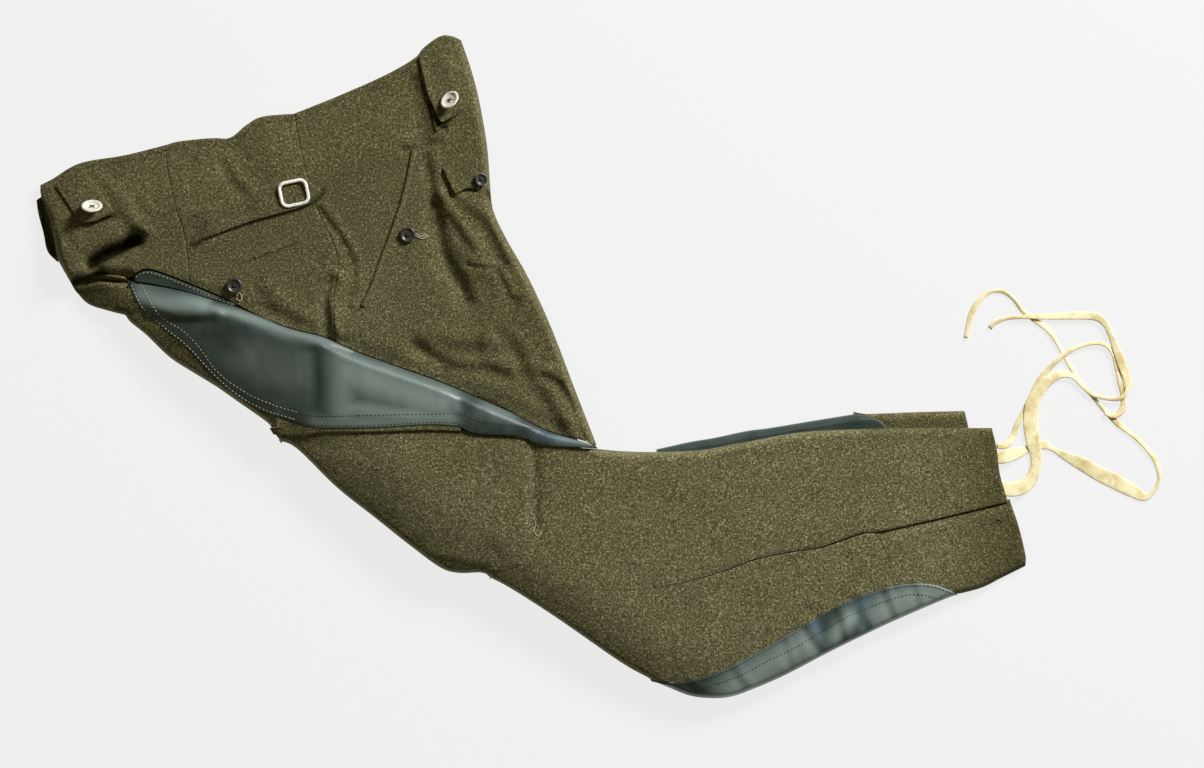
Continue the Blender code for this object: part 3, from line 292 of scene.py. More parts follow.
LEG_CREASES = (
    Fold(((600, 470), (700, 480), (800, 470)), -0.5, 14.0),
    Fold(((790, 634), (797, 665)), 0.9, 5.0),
    Fold(((843, 612), (850, 640)), -0.7, 5.0),
    Fold(((893, 592), (898, 615)), 0.8, 5.0),
    Fold(((700, 682), (704, 696)), 0.6, 5.0),
    Fold(((878, 534), (889, 560)), 0.9, 2.2),
)
LEG_RUCKS = (
    Fold(((523, 496), (513, 525), (497, 548)), 1.3, 5.0),
    Fold(((383, 438), (376, 446), (366, 452)), 0.8, 6.0),
    Fold(((486, 575), (500, 571), (516, 565)), 1.0, 4.0),
    Fold(((786, 640), (790, 656), (796, 672)), 1.0, 4.5),
    Fold(((806, 626), (814, 640), (826, 656)), 1.6, 5.5),
    Fold(((836, 610), (842, 626), (846, 642)), 0.9, 4.5),
    Fold(((858, 598), (862, 614), (870, 630)), 1.5, 5.5),
    Fold(((884, 590), (890, 604), (896, 620)), 1.4, 5.0),
    Fold(((914, 585), (918, 596), (922, 608)), 0.8, 4.5),
    Fold(((690, 682), (700, 690)), 0.8, 4.5),
    Fold(((734, 668), (742, 680), (750, 690)), 0.8, 5.0),
    Fold(((425, 556), (450, 560), (486, 568)), 1.0, 6.0),
)


def ease(amount):
    """A smooth step from 0 to 1."""
    amount = np.clip(amount, 0.0, 1.0)
    return amount * amount * (3.0 - 2.0 * amount)


def smooth_line(points, count):
    """Plan points at even distances on a smooth curve through the given ones."""
    points = np.array(points, float)
    ends = np.vstack([2 * points[0] - points[1], points, 2 * points[-1] - points[-2]])
    dense = []
    for i in range(len(points) - 1):
        before, a, b, after = ends[i : i + 4]
        for t in np.linspace(0, 1, CURVE_STEPS, endpoint=False):
            dense.append(
                a
                + 0.5 * t * (b - before)
                + t * t * (before - 2.5 * a + 2 * b - 0.5 * after)
                + t * t * t * (1.5 * (a - b) + 0.5 * (after - before))
            )
    dense.append(points[-1])
    dense = np.array(dense)
    run = np.concatenate([[0], np.cumsum(np.linalg.norm(np.diff(dense[:, :2], axis=0), axis=1))])
    wanted = np.linspace(0, run[-1], count + 1)
    return np.stack([np.interp(wanted, run, column) for column in dense.T], axis=1)


def guide(*stretches):
    """One edge of a panel from (points, count) stretches that follow one another."""
    parts = [smooth_line(points, count * FINE) for points, count in stretches]
    return np.vstack([parts[0]] + [part[1:] for part in parts[1:]])


def distance_to(line, points):
    """Plan distance from each point to a line."""
    line = np.array(line, float)[:, :2]
    least = np.full(points.shape[:-1], np.inf)
    for a, b in zip(line[:-1], line[1:]):
        along = b - a
        share = np.clip(((points - a) @ along) / max(along @ along, 1e-9), 0, 1)
        near = a + share[..., None] * along
        least = np.minimum(least, np.linalg.norm(points - near, axis=-1))
    return least


def smooth_outline(*lines):
    """One dense plan line through several stretches, each smooth in itself."""
    return np.vstack([smooth_line(points, OUTLINE_STEPS * (len(points) - 1)) for points in lines])


def rolled(height, foot, distance, radius):
    """A folded edge: a quarter ellipse from its foot at the outline up to the full height."""
    share = np.clip((distance - OUTLINE_SLACK) / radius, 0, 1)
    return foot + (height - foot) * np.sqrt(1 - (1 - share) ** 2)


def sloped(height, steepness, distance, reach):
    """A slope that is steepest at the outline and levels out at the end of its reach."""
    share = np.clip(distance / reach, 0, 1)
    return height - steepness * reach / 2 * (1 - share) ** 2


def level(table, x):
    """The value that a table of (place, value) rows gives at x."""
    return np.interp(x, [row[0] for row in table], [row[1] for row in table])


def folded(points, folds):
    """How far folds press the cloth down, or lift it where their depth is negative."""
    total = np.zeros(points.shape[:-1])
    for fold in folds:
        away = distance_to(smooth_line(fold.line, FOLD_STEPS * len(fold.line)), points)
        total += fold.depth * np.exp(-((away / fold.width) ** 2))
    return total


def pleated(points, pleats):
    """How far pleats press the cloth down on one side of their lines and lift it on the other."""
    total = np.zeros(points.shape[:-1])
    for pleat in pleats:
        line = smooth_line(pleat.line, FOLD_STEPS * len(pleat.line))
        for side in (-1, 1):
            away = distance_to(line + np.array(PLEAT_SIDE) * side * PLEAT_SHIFT * pleat.width, points)
            total -= side * pleat.depth * np.exp(-((away / pleat.width) ** 2))
    return total


def uneven(points, rows):
    """Slow unevenness of laid cloth, from rows of height, size of the bumps and layer of the noise."""
    total = np.zeros(points.shape[:-1])
    for height, size, layer in rows:
        values = [noise.noise(Vector((x, y, layer))) for x, y in points.reshape(-1, 2) / size]
        total += height * np.array(values).reshape(points.shape[:-1])
    return total


OUTLINE_SLACK = 0.05
WAIST = smooth_outline(WAIST_LEFT, WAIST_BACK, WAIST_FRONT)
LEFT_SIDE = smooth_outline(LEFT_EDGE)
FRONT = smooth_outline(FRONT_FOLD)
LEG_OUTLINE = smooth_outline(THIGH_OUTLINE, CALF_OUTLINE_TOP, CALF_OUTLINE, CALF_OUTLINE_HEM)
LEG_FOLD = smooth_outline(UPPER_FOLD)
LAP = smooth_outline(LAP_EDGE, LEATHER_KNEE)
THIGH_RIDGE = smooth_outline(THIGH_FOLD_SEAT, THIGH_FOLD_MIDDLE, THIGH_FOLD_KNEE)
SEAT_SIDE = smooth_outline(SEAT_OUTLINE_TOP, SEAT_OUTLINE)
RIGHT_SIDE = smooth_outline(RIGHT_CALF_OUTLINE, RIGHT_CALF_OUTLINE_HEM)


def sunk_along(line, points, dip):
    """How far the cloth sinks beside a line, for a reach and a depth."""
    reach, depth = dip
    return depth * (1 - ease(distance_to(line, points) / reach))


def hip_height(points, fine=True):
    """Outer surface of the hip panels; without its fineness it is the CAD model's."""
    rise = ease(distance_to(WAIST, points) / HIP_RISE)
    height = WAIST_EDGE_HEIGHT + (HIP_HEIGHT - WAIST_EDGE_HEIGHT) * rise
    height = height - folded(points, HIP_FOLDS) - pleated(points, HIP_PLEATS)
    if fine:
        height = height - folded(points, HIP_CREASES) - pleated(points, HIP_RUCKS)
        height = height + uneven(points, HIP_UNEVEN)
    height = height - sunk_along(THIGH_FOLD_SEAT + THIGH_FOLD_FRONT, points, FOLD_DIP)
    height = height - sunk_along(SEAT_CREASE[:3], points, CREASE_DIP)
    waist_side, seat_side = LEFT_SIDE[: LEFT_SIDE_TURN + 1], LEFT_SIDE[LEFT_SIDE_TURN:]
    height = rolled(height, LEFT_EDGE_HEIGHT, distance_to(waist_side, points), LEFT_EDGE_ROLL)
    height = np.minimum(height, rolled(height, FLOOR_GAP, distance_to(seat_side, points), FRONT_ROLL))
    return rolled(height, FLOOR_GAP, distance_to(FRONT, points), FRONT_ROLL)


def leg_height(points):
    """Outer surface of the left leg's outer side."""
    height = level(LEG_CROWN, points[..., 0]) - folded(points, LEG_FOLDS + LEG_CREASES)
    height = height - pleated(points, LEG_RUCKS) + uneven(points, LEG_UNEVEN)
    height = height - sunk_along(LAP_EDGE + LEATHER_KNEE[1:4], points, LAP_DIP)
    away = distance_to(LEG_OUTLINE, points)
    height = sloped(height, LOWER_SLOPE, away, level(LOWER_REACH, points[..., 0]))
    height = rolled(height, FLOOR_GAP, away, LOWER_ROLL)
    foot = level(UPPER_FOLD_FOOT, points[..., 0])
    top = rolled(height, foot, distance_to(LEG_FOLD, points), UPPER_ROLL)
    return np.where(points[..., 0] > UPPER_FOLD_START, np.minimum(height, top), height)


def thigh_height(points):
    """Outer surface of the seat and inner thigh, folded over the hip and lapped over the leg."""
    height = level(THIGH_CROWN, points[..., 0]) - folded(points, THIGH_FOLDS + THIGH_CREASES)
    height = height - pleated(points, THIGH_RUCKS) + uneven(points, THIGH_UNEVEN)
    lapped = leg_height(points) + LAP_RAISE
    over_leg = ease((points[..., 0] - LAP_START) / LAP_RAMP)
    over_leg = over_leg * (1 - ease(distance_to(LAP, points) / LAP_REACH))
    height = height + (lapped - height) * over_leg
    height = rolled(height, HIP_HEIGHT - FOLD_DIP[1] - CLOTH_WALL, distance_to(THIGH_RIDGE, points),
                    level(THIGH_ROLLS, points[..., 0]))
    height = rolled(height, SEAT_EDGE_HEIGHT, distance_to(SEAT_EDGE, points), SEAT_EDGE_ROLL)
    away = distance_to(SEAT_SIDE, points)
    height = np.maximum(sloped(height, SEAT_SLOPE, away, SEAT_REACH), np.minimum(height, SEAT_EDGE_HEIGHT))
    height = rolled(height, FLOOR_GAP, away, LOWER_ROLL)
    return height + (np.maximum(height, lapped) - height) * over_leg


def right_calf_height(points):
    """Outer surface of the strip of the right leg that shows above the left calf."""
    height = RIGHT_CALF_HEIGHT + uneven(points, RIGHT_CALF_UNEVEN)
    return rolled(height, FLOOR_GAP, distance_to(RIGHT_SIDE, points), RIGHT_CALF_ROLL)


def graded(length, count, first_roll, last_roll):
    """Distances along rows of the given lengths, closer together where an end rounds over."""
    length = np.reshape(length, (-1, 1)).astype(float)
    closer = 1 - np.cos(np.linspace(0, math.pi / 2, ROLL_ROWS))[:-1]
    first = np.minimum(first_roll, length * ROLL_SHARE)
    last = np.minimum(last_roll, length * ROLL_SHARE)
    parts = [first * closer] if first_roll else []
    parts.append(first + (length - first - last) * np.linspace(0, 1, count + 1))
    if last_roll:
        parts.append(length - last * closer[::-1])
    return np.concatenate(parts, axis=1)


def along_guide(line, shares):
    """Points at the given shares of a line's steps."""
    places = np.asarray(shares) * (len(line) - 1)
    stops = np.arange(len(line))
    return np.stack([np.interp(places, stops, column) for column in line.T], axis=-1)


def patch(first, last, start=None, end=None, rolls=(0, 0, 0, 0), gaps=(0, 0, 0, 0)):
    """Plan grid of a panel between two long edges and its two ends, drawn in by the gaps."""
    length = np.linalg.norm(np.diff(first, axis=0), axis=1).sum()
    steps = graded(length - gaps[2] - gaps[3], len(first) - 1, rolls[2], rolls[3])[0]
    u = (gaps[2] + steps) / length
    a, b = along_guide(first, u), along_guide(last, u)
    width = np.maximum(np.linalg.norm(b - a, axis=-1), NARROWEST_ROW)
    drawn = [gap(u) if callable(gap) else np.full(len(u), float(gap)) for gap in gaps[:2]]
    open_width = np.maximum(width - drawn[0] - drawn[1], width * OPEN_SHARE)
    count = max(2, round(width.max() / CELL))
    f = (drawn[0][:, None] + graded(open_width, count, rolls[0], rolls[1])) / width[:, None]
    plan = a[:, None] + (b - a)[:, None] * f[..., None]
    for line, p, q, weight in ((start, first[0], last[0], 1 - u), (end, first[-1], last[-1], u)):
        if line is None:
            continue
        line = smooth_line(line, END_STEPS)
        shares = np.linspace(0, 1, len(line))
        bent = np.stack([np.interp(f, shares, line[:, k]) for k in (0, 1)], axis=-1)
        plan = plan + weight[:, None, None] * (bent - (p + (q - p) * np.clip(f, 0, 1)[..., None]))
    return plan


def run_from_edge(plan, side):
    """Plan distance of every grid point from one side of its panel."""
    axis, back = ((1, False), (1, True), (0, False), (0, True))[side]
    steps = np.linalg.norm(np.diff(plan, axis=axis), axis=-1)
    if back:
        steps = np.flip(steps, axis)
    run = np.cumsum(steps, axis=axis)
    run = np.concatenate([np.zeros_like(np.take(run, [0], axis)), run], axis=axis)
    return np.flip(run, axis) if back else run


def dipped(plan, heights, dips):
    """Heights with the four sides dipped as at a seam or a turned edge."""
    for side, (reach, depth) in enumerate(dips):
        if reach:
            share = np.clip(run_from_edge(plan, side) / reach, 0, 1)
            heights = heights - depth * (1 - np.sqrt(1 - (1 - share) ** 2))
    return heights


def in_metres(points, heights):
    """Places in the frame of the CAD model from plan points and heights."""
    x = (points[..., 0] - PLAN_CENTRE[0]) * MM
    y = (PLAN_CENTRE[1] - points[..., 1]) * MM
    return np.stack([x, y, heights * MM], axis=-1)


def new_piece(name, places, faces, finish):
    """A smooth mesh piece from its corner places and the corners of each face."""
    mesh = bpy.data.meshes.new(name)
    mesh.from_pydata([tuple(place) for place in places], [], [tuple(face) for face in faces])
    mesh.materials.append(finish)
    mesh.shade_smooth()
    mesh.update()
    piece = bpy.data.objects.new(name, mesh)
    bpy.context.scene.collection.objects.link(piece)
    return piece


def settled(piece):
    """The piece with its modifiers turned into a plain mesh."""
    bpy.context.view_layer.update()
    ready = piece.evaluated_get(bpy.context.evaluated_depsgraph_get())
    mesh = bpy.data.meshes.new_from_object(ready)
    piece.modifiers.clear()
    old = piece.data
    piece.data = mesh
    bpy.data.meshes.remove(old)
    mesh.name = piece.name
    return piece


def grid_faces(rows, columns, turned=False):
    """Corners of the four-sided faces of a grid."""
    corner = np.arange(rows * columns).reshape(rows, columns)
    faces = np.stack([corner[:-1, :-1], corner[1:, :-1], corner[1:, 1:], corner[:-1, 1:]], axis=-1)
    return faces.reshape(-1, 4)[:, ::-1] if turned else faces.reshape(-1, 4)


SHARP_ANGLE = 50.0
LEATHER_NAME = "strapping_leather"


def join_frame(piece, finish_slot, *nodes):
    """Attaches a finished piece to its body and hides the CAD nodes that it stands for. Its finish slot is
    not used.
    """
    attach(piece, BODY)
    if nodes:
        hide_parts(*nodes)
    return piece


def panel(node, plan, heights, finish, dips=(), thickness=CLOTH_WALL):
    """A thin shell of cloth or leather on its solid's form."""
    hide = finish.name == LEATHER_NAME
    name = node + ("_hide" if hide else "_cloth")
    finish_slot = "strapping" if hide else "wool"
    heights = dipped(plan, heights, dips)
    places = in_metres(plan, heights)
    over, along = plan[1:, :-1] - plan[:-1, :-1], plan[:-1, 1:] - plan[:-1, :-1]
    upward = -(over[..., 0] * along[..., 1] - over[..., 1] * along[..., 0]).sum() > 0
    faces = grid_faces(*heights.shape, turned=not upward)
    piece = new_piece(name, places.reshape(-1, 3), faces, finish)
    solid = piece.modifiers.new("wall", "SOLIDIFY")
    solid.thickness = thickness * MM
    solid.offset = -1.0
    settled(piece)
    piece.data.set_sharp_from_angle(angle=math.radians(SHARP_ANGLE))
    join_frame(piece, finish_slot, node)
    marked_wear_and_painted_light(piece, LEATHER_MARKS if hide else CLOTH_MARKS)


def hip_panels(wool):
    """Left back, right back and right front of the hip, from the waist down to the thigh fold."""
    for node, top, low, count, start, end, start_roll, end_roll, dips in (
        ("left_back_hip", WAIST_LEFT, SEAT_CREASE, 9, LEFT_EDGE, CENTRE_BACK, FRONT_ROLL, EDGE_ROLL,
         (TURNED_DIP, NO_DIP, NO_DIP, SEAM_DIP)),
        ("right_back_hip", WAIST_BACK, THIGH_FOLD_BACK, 10, CENTRE_BACK, SIDE_SEAM, EDGE_ROLL, EDGE_ROLL,
         (TURNED_DIP, NO_DIP, SEAM_DIP, SEAM_DIP)),
        ("right_front_hip", WAIST_FRONT, THIGH_FOLD_FRONT, 14, SIDE_SEAM, FRONT_FOLD, EDGE_ROLL, FRONT_ROLL,
         (TURNED_DIP, NO_DIP, SEAM_DIP, NO_DIP)),
    ):
        plan = patch(guide((top, count)), guide((low, count)), start, end,
                     rolls=(EDGE_ROLL, EDGE_ROLL, start_roll, end_roll), gaps=(0, FOLD_GAP, 0, 0))
        panel(node, plan, hip_height(plan), wool, dips)


def under_waist(wool):
    """The left half's waist, which lies beneath and shows along its end."""
    plan = patch(guide((UNDER_WAIST_TOP, 22)), guide((UNDER_WAIST_INNER, 22)), UNDER_WAIST_END,
                 rolls=(EDGE_ROLL, 0, EDGE_ROLL, 0))
    heights = UNDER_WAIST_HEIGHT + uneven(plan, UNDER_UNEVEN)
    panel("left_waist_under", plan, heights, wool, (UNDER_DIP, NO_DIP, UNDER_DIP, NO_DIP))


# Gap on each side of a panel that is sewn to its neighbour all round, and of the seat's thin strip
SEWN_GAP = 0.2
STRIP_GAPS = (0.6, 1.0, 0.5, 0.5)
# Share of the seat strip's length from which it parts from the leg, and plan x and ramp of its lap
SEAT_PART = 0.57
SEAT_PART_GAP = 0.3
SEAT_LAP = (262.0, 20.0)
# How the corners of the thigh's leather are drawn in: seat corner, knee corner
LEATHER_SEAT_SHIFT = (1.5, 4.5)
LEATHER_KNEE_SHIFT = (-3.0, -3.0)


def seat_and_thigh(wool, leather):
    """The cloth strip of the left seat, the leather of the inner thigh, and the right seat's strip."""
    first = guide((SEAT_EDGE_UNDER + LEATHER_SEAT[:1], 4), (LEATHER_SEAT, 12), (LEATHER_THIGH, 12))
    last = guide((SEAT_OUTLINE_TOP, 4), (SEAT_OUTLINE, 12), (LAP_EDGE, 12))
    plan = patch(first, last, rolls=(EDGE_ROLL, LOWER_ROLL, EDGE_ROLL, EDGE_ROLL),
                 gaps=(SEWN_GAP, lambda u: np.where(u > SEAT_PART, SEAT_PART_GAP, 0.0), SEWN_GAP, SEWN_GAP))
    heights = thigh_height(plan)
    lapped = np.clip((plan[..., 0] - SEAT_LAP[0]) / SEAT_LAP[1], 0, 1)
    heights = heights - lapped * (heights - dipped(plan, heights, (NO_DIP, TURNED_DIP)))
    panel("left_seat", plan, heights, wool)
    first = guide((THIGH_FOLD_SEAT, 12), (THIGH_FOLD_MIDDLE, 12), (THIGH_FOLD_KNEE, 9))
    last = guide((LEATHER_SEAT, 12), (LEATHER_THIGH, 12), (LEATHER_KNEE, 9))
    last[0] += LEATHER_SEAT_SHIFT
    first[-1] += LEATHER_KNEE_SHIFT
    plan = patch(first, last, rolls=(THIGH_ROLL, EDGE_ROLL, EDGE_ROLL, EDGE_ROLL),
                 gaps=(0, 2 * SEWN_GAP, SEWN_GAP, SEWN_GAP))
    heights = thigh_height(plan) + LEATHER_RAISE
    panel("left_thigh_leather", plan, heights, leather, (NO_DIP, LEATHER_DIP), LEATHER_WALL)
    plan = patch(guide((RIGHT_STRIP_TOP, 8)), guide((RIGHT_STRIP_LOW, 8)),
                 rolls=(CUT_ROLL, CUT_ROLL, END_ROLL, END_ROLL),
                 gaps=STRIP_GAPS)
    panel("right_seat_leather", plan, hip_height(plan) + CALF_LEATHER_RAISE, leather, (LEATHER_DIP,))


# How far the right hem's cloth reaches under the leather's end, and how it dips there
HEM_LAP = 8.0
HEM_LAP_DIP = (12.0, 2.4)
# Shares of the calf's length where the placket begins, and how far the calf reaches under it
PLACKET_START = (0.745, 0.765)
PLACKET_LAP = 4.0
# Plan x and ramp of the placket, how high and how far in its edge stands up, and how deep the calf
# lies under it
PLACKET = (872.0, 12.0)
PLACKET_RAISE = 0.8
PLACKET_REACH = 14.0
PLACKET_TUCK = 2.6
# How deep the leg's side seam is sewn in: plan x, share of a seam's full dip
SEAM_DEPTH = ((480, 0), (680, 0.0), (720, 0.3), (800, 0.6), (870, 1.0))
# How the corners of the outer panel and of the calf are drawn in at their starts: upper, lower
OUTER_SHIFTS = ((14.0, 2.0), (4.0, 1.5))
CALF_SHIFTS = ((1.0, 0.2), (1.0, 0.6))


def seamed(plan, heights, dips):
    """Heights dipped along the side seam, deeper towards the hem."""
    return heights - level(SEAM_DEPTH, plan[..., 0]) * (heights - dipped(plan, heights, dips))


def left_leg(wool, leather):
    """The left leg's outer panel, its calf, the leather at the calf and the under half of the hem."""
    first = guide((LAP_EDGE, 12), (LEATHER_KNEE, 9), (UPPER_FOLD, 25))
    last = guide((THIGH_OUTLINE, THIGH_STATIONS), (LEG_SIDE_SEAM, SEAM_STATIONS))
    first[0] += OUTER_SHIFTS[0]
    last[0] += OUTER_SHIFTS[1]
    plan = patch(first, last, end=LEFT_HEM, rolls=(UPPER_ROLL, LOWER_ROLL, 0, EDGE_ROLL))
    placket = np.clip((plan[..., 0] - PLACKET[0]) / PLACKET[1], 0, 1)
    heights = seamed(plan, leg_height(plan), (NO_DIP, SEAM_DIP))
    edge = np.exp(-((run_from_edge(plan, 1) / PLACKET_REACH) ** 2))
    heights = heights + PLACKET_RAISE * placket * edge
    panel("left_leg_outer", plan, heights, wool, (NO_DIP, NO_DIP, NO_DIP, TURNED_DIP))
    first = guide((LEG_SIDE_SEAM, SEAM_STATIONS))
    last = guide((CALF_OUTLINE_TOP, 10), (LEATHER_CALF, 17), (CALF_OUTLINE_HEM, 4))
    first[0] += CALF_SHIFTS[0]
    last[0] += CALF_SHIFTS[1]
    plan = patch(first, last, end=PLACKET_HEM, rolls=(EDGE_ROLL, LOWER_ROLL, EDGE_ROLL, EDGE_ROLL),
                 gaps=(lambda u: np.interp(u, PLACKET_START, (0.0, -PLACKET_LAP)), 0, 0, 0))
    heights = seamed(plan, leg_height(plan), (SEAM_DIP,))
    placket = np.clip((plan[..., 0] - PLACKET[0]) / PLACKET[1], 0, 1)
    tucked = placket * (1 - ease(run_from_edge(plan, 0) / (3 * PLACKET_LAP)))
    heights = dipped(plan, heights, (NO_DIP, NO_DIP, NO_DIP, TURNED_DIP)) - PLACKET_TUCK * tucked
    panel("left_calf", plan, heights, wool)
    plan = patch(guide((LEATHER_CALF, 17)), guide((CALF_OUTLINE, 17)),
                 rolls=(CUT_ROLL, LOWER_ROLL, END_ROLL, END_ROLL),
                 gaps=(SEWN_GAP, 0, SEWN_GAP, SEWN_GAP))
    panel("left_calf_leather", plan, leg_height(plan) + CALF_LEATHER_RAISE, leather, (LEATHER_DIP,))
    plan = patch(guide((UNDER_HEM_TOP, 3)), guide((UNDER_HEM_LOW, 3)), end=UNDER_HEM_EDGE,
                 rolls=(0, 0, 0, EDGE_ROLL))
    panel("left_hem_under", plan, np.full(plan.shape[:-1], UNDER_HEM_HEIGHT), wool)


def right_calf(wool, leather):
    """The strip of the right calf above the left leg, leather and then cloth."""
    plan = patch(guide((RIGHT_CALF_OUTLINE, 14)), guide((RIGHT_CALF_INNER, 14)), end=RIGHT_LEATHER_END,
                 rolls=(RIGHT_CALF_ROLL, 0, END_ROLL, END_ROLL), gaps=(0, SEWN_GAP, SEWN_GAP, SEWN_GAP))
    heights = right_calf_height(plan) + RIGHT_LEATHER_RAISE
    panel("right_calf_leather", plan, heights, leather, (NO_DIP, NO_DIP, NO_DIP, LEATHER_DIP))
    first, last = guide((RIGHT_CALF_OUTLINE_HEM, 6)), guide((RIGHT_CALF_INNER_HEM, 6))
    first[0] -= (HEM_LAP, 0.0)
    last[0] -= (HEM_LAP, 0.0)
    lapped_end = [(x - HEM_LAP, y) for x, y in RIGHT_CLOTH_END]
    plan = patch(first, last, lapped_end, rolls=(RIGHT_CALF_ROLL, 0, END_ROLL, EDGE_ROLL),
                 gaps=(0, SEWN_GAP, 0, SEWN_GAP))
    panel("right_calf_hem", plan, right_calf_height(plan), wool, (NO_DIP, NO_DIP, HEM_LAP_DIP, TURNED_DIP))


# Flat pieces on the hip: plan lines of two opposite edges and of the two ends, steps along, lift,
# how far the last edge curls up, the reach over which the start sinks into the cloth, and how the
# four sides dip towards it
Trim = namedtuple("Trim", "node first last start end along lift curl sink dips")
FLAT_DIP = (1.6, 1.2)
EDGE_DIP = (3.5, 1.9)
CURL_REACH = 11.0
CURL_STEPS = 20
SUNK = 0.3
TRIMS = (
    Trim("left_belt_tab", ((55, 186), (66, 176.5), (80, 165.5)), ((83, 223), (98, 221), (116, 213.5)),
         ((55, 186), (62, 196), (75, 214), (83, 223)), ((80, 165.5), (100, 190), (106, 200), (116, 213.5)),
         4, 0.0, 3.0, 0.0, (FLAT_DIP,) * 4),
    Trim("right_belt_tab_end", ((430, 108), (445, 103)), ((436, 133), (446, 126)), None, None,
         2, 0.0, 0.0, 0.0, (FLAT_DIP,) * 4),
    Trim("right_belt_tab", ((419, 57), (440, 37.5), (459, 39)), ((441, 124), (456, 116), (469, 104)),
         ((419, 57), (423, 76), (429, 98), (441, 124)), ((459, 39), (466, 68), (470, 88), (469, 104)),
         4, TRIM_WALL + LIE_GAP, 2.5, 0.0, (FLAT_DIP,) * 4),
    Trim("adjuster_strap", ((184, 212), (250, 191), (300, 176), (310, 182)),
         ((194, 243), (250, 222), (308, 205), (322, 192)), None, None,
         10, 0.0, 1.6, 24.0, ((12.0, 2.0), (0.6, 0.2), NO_DIP, FLAT_DIP)),
    Trim("watch_pocket_flap", ((442, 168), (456, 156), (477, 154)), ((455, 195), (468, 189), (480, 190)),
         None, None, 3, 0.0, 1.6, 0.0, ((5.0, 1.8), FLAT_DIP, FLAT_DIP, FLAT_DIP)),
    Trim("hip_pocket_welt", ((253, 255), (289, 241), (301, 236)), ((255, 260), (291, 246), (303, 241)),
         None, None, 4, -1.2, 0.0, 0.0, (EDGE_DIP, FLAT_DIP, FLAT_DIP, FLAT_DIP)),
    Trim("slash_pocket_edge", ((412, 150), (404, 190), (393, 225), (382, 255), (371, 285), (361, 306)),
         ((417, 151), (409, 190), (398, 225), (387, 255), (376, 285), (366, 308)), None, None,
         11, 0.0, 0.0, 0.0, ((1.4, 1.0), EDGE_DIP, FLAT_DIP, FLAT_DIP)),
)


def hip_trims(wool):
    """Tabs, strap, flap and pocket edges, each made from the hip's own surface moved out."""
    for trim in TRIMS:
        plan = patch(guide((trim.first, trim.along)), guide((trim.last, trim.along)), trim.start, trim.end,
                     rolls=(EDGE_ROLL, EDGE_ROLL, EDGE_ROLL, EDGE_ROLL))
        heights = hip_height(plan) + LIE_GAP + TRIM_WALL + trim.lift
        curled = distance_to(smooth_line(trim.last, CURL_STEPS), plan)
        heights = heights + trim.curl * np.exp(-((curled / CURL_REACH) ** 2))
        heights = dipped(plan, heights, trim.dips)
        if trim.sink:
            risen = ease(run_from_edge(plan, 2) / trim.sink)
            heights = hip_height(plan) - SUNK + (heights - hip_height(plan) + SUNK) * risen
        panel(trim.node, plan, heights, wool, thickness=TRIM_WALL)


def frames_along(line, closed=False):
    """Direction, level side and up at each point of a line in space."""
    line = np.array(line, float)
    if closed:
        ahead, behind = np.roll(line, -1, axis=0), np.roll(line, 1, axis=0)
    else:
        ahead, behind = np.vstack([line[1:], line[-1:]]), np.vstack([line[:1], line[:-1]])
    way = ahead - behind
    way /= np.maximum(np.linalg.norm(way, axis=1, keepdims=True), 1e-9)
    side = np.cross(way, (0.0, 0.0, 1.0))
    side /= np.maximum(np.linalg.norm(side, axis=1, keepdims=True), 1e-9)
    return way, side, np.cross(side, way)


def swept(name, line, widths, heights, finish, turns=None, closed=False, sides=12, square=1.0):
    """A strand, tape or wire: an oval section of the given widths and heights led along a line."""
    _, side, up = frames_along(line, closed)
    count = len(line)
    angle = np.linspace(0, 2 * math.pi, sides, endpoint=False)
    across = np.sign(np.cos(angle)) * np.abs(np.cos(angle)) ** square
    over = np.sign(np.sin(angle)) * np.abs(np.sin(angle)) ** square
    x = np.outer(np.broadcast_to(widths, count) / 2, across)
    y = np.outer(np.broadcast_to(heights, count) / 2, over)
    turn = np.radians(np.zeros(count) if turns is None else turns)[:, None]
    x, y = x * np.cos(turn) - y * np.sin(turn), x * np.sin(turn) + y * np.cos(turn)
    rings = np.array(line)[:, None] + x[..., None] * side[:, None] + y[..., None] * up[:, None]
    faces = []
    for i in range(count if closed else count - 1):
        a, b = i * sides, (i + 1) % count * sides
        for j in range(sides):
            k = (j + 1) % sides
            faces.append((a + j, a + k, b + k, b + j))
    if not closed:
        faces.append(tuple(range(sides))[::-1])
        faces.append(tuple(range((count - 1) * sides, count * sides)))
    return new_piece(name, rings.reshape(-1, 3), faces, finish)


def ring(radius, height, sides):
    """Places round a level circle."""
    angle = np.linspace(0, 2 * math.pi, sides, endpoint=False)
    return np.stack([radius * np.cos(angle), radius * np.sin(angle), np.full(sides, height)], axis=1)


def turned_shape(profile, sides):
    """Places and faces of a solid turned from (radius, height) rows that start and end on its axis."""
    rings = [ring(radius, height, sides) for radius, height in profile[1:-1]]
    places = np.vstack([[(0.0, 0.0, profile[0][1])]] + rings + [[(0.0, 0.0, profile[-1][1])]])
    faces = [(0, 1 + j, 1 + (j + 1) % sides) for j in range(sides)]
    for i in range(len(rings) - 1):
        a, b = 1 + i * sides, 1 + (i + 1) * sides
        faces += [(a + j, b + j, b + (j + 1) % sides, a + (j + 1) % sides) for j in range(sides)]
    a = 1 + (len(rings) - 1) * sides
    faces += [(a + j, len(places) - 1, a + (j + 1) % sides) for j in range(sides)]
    return places, faces


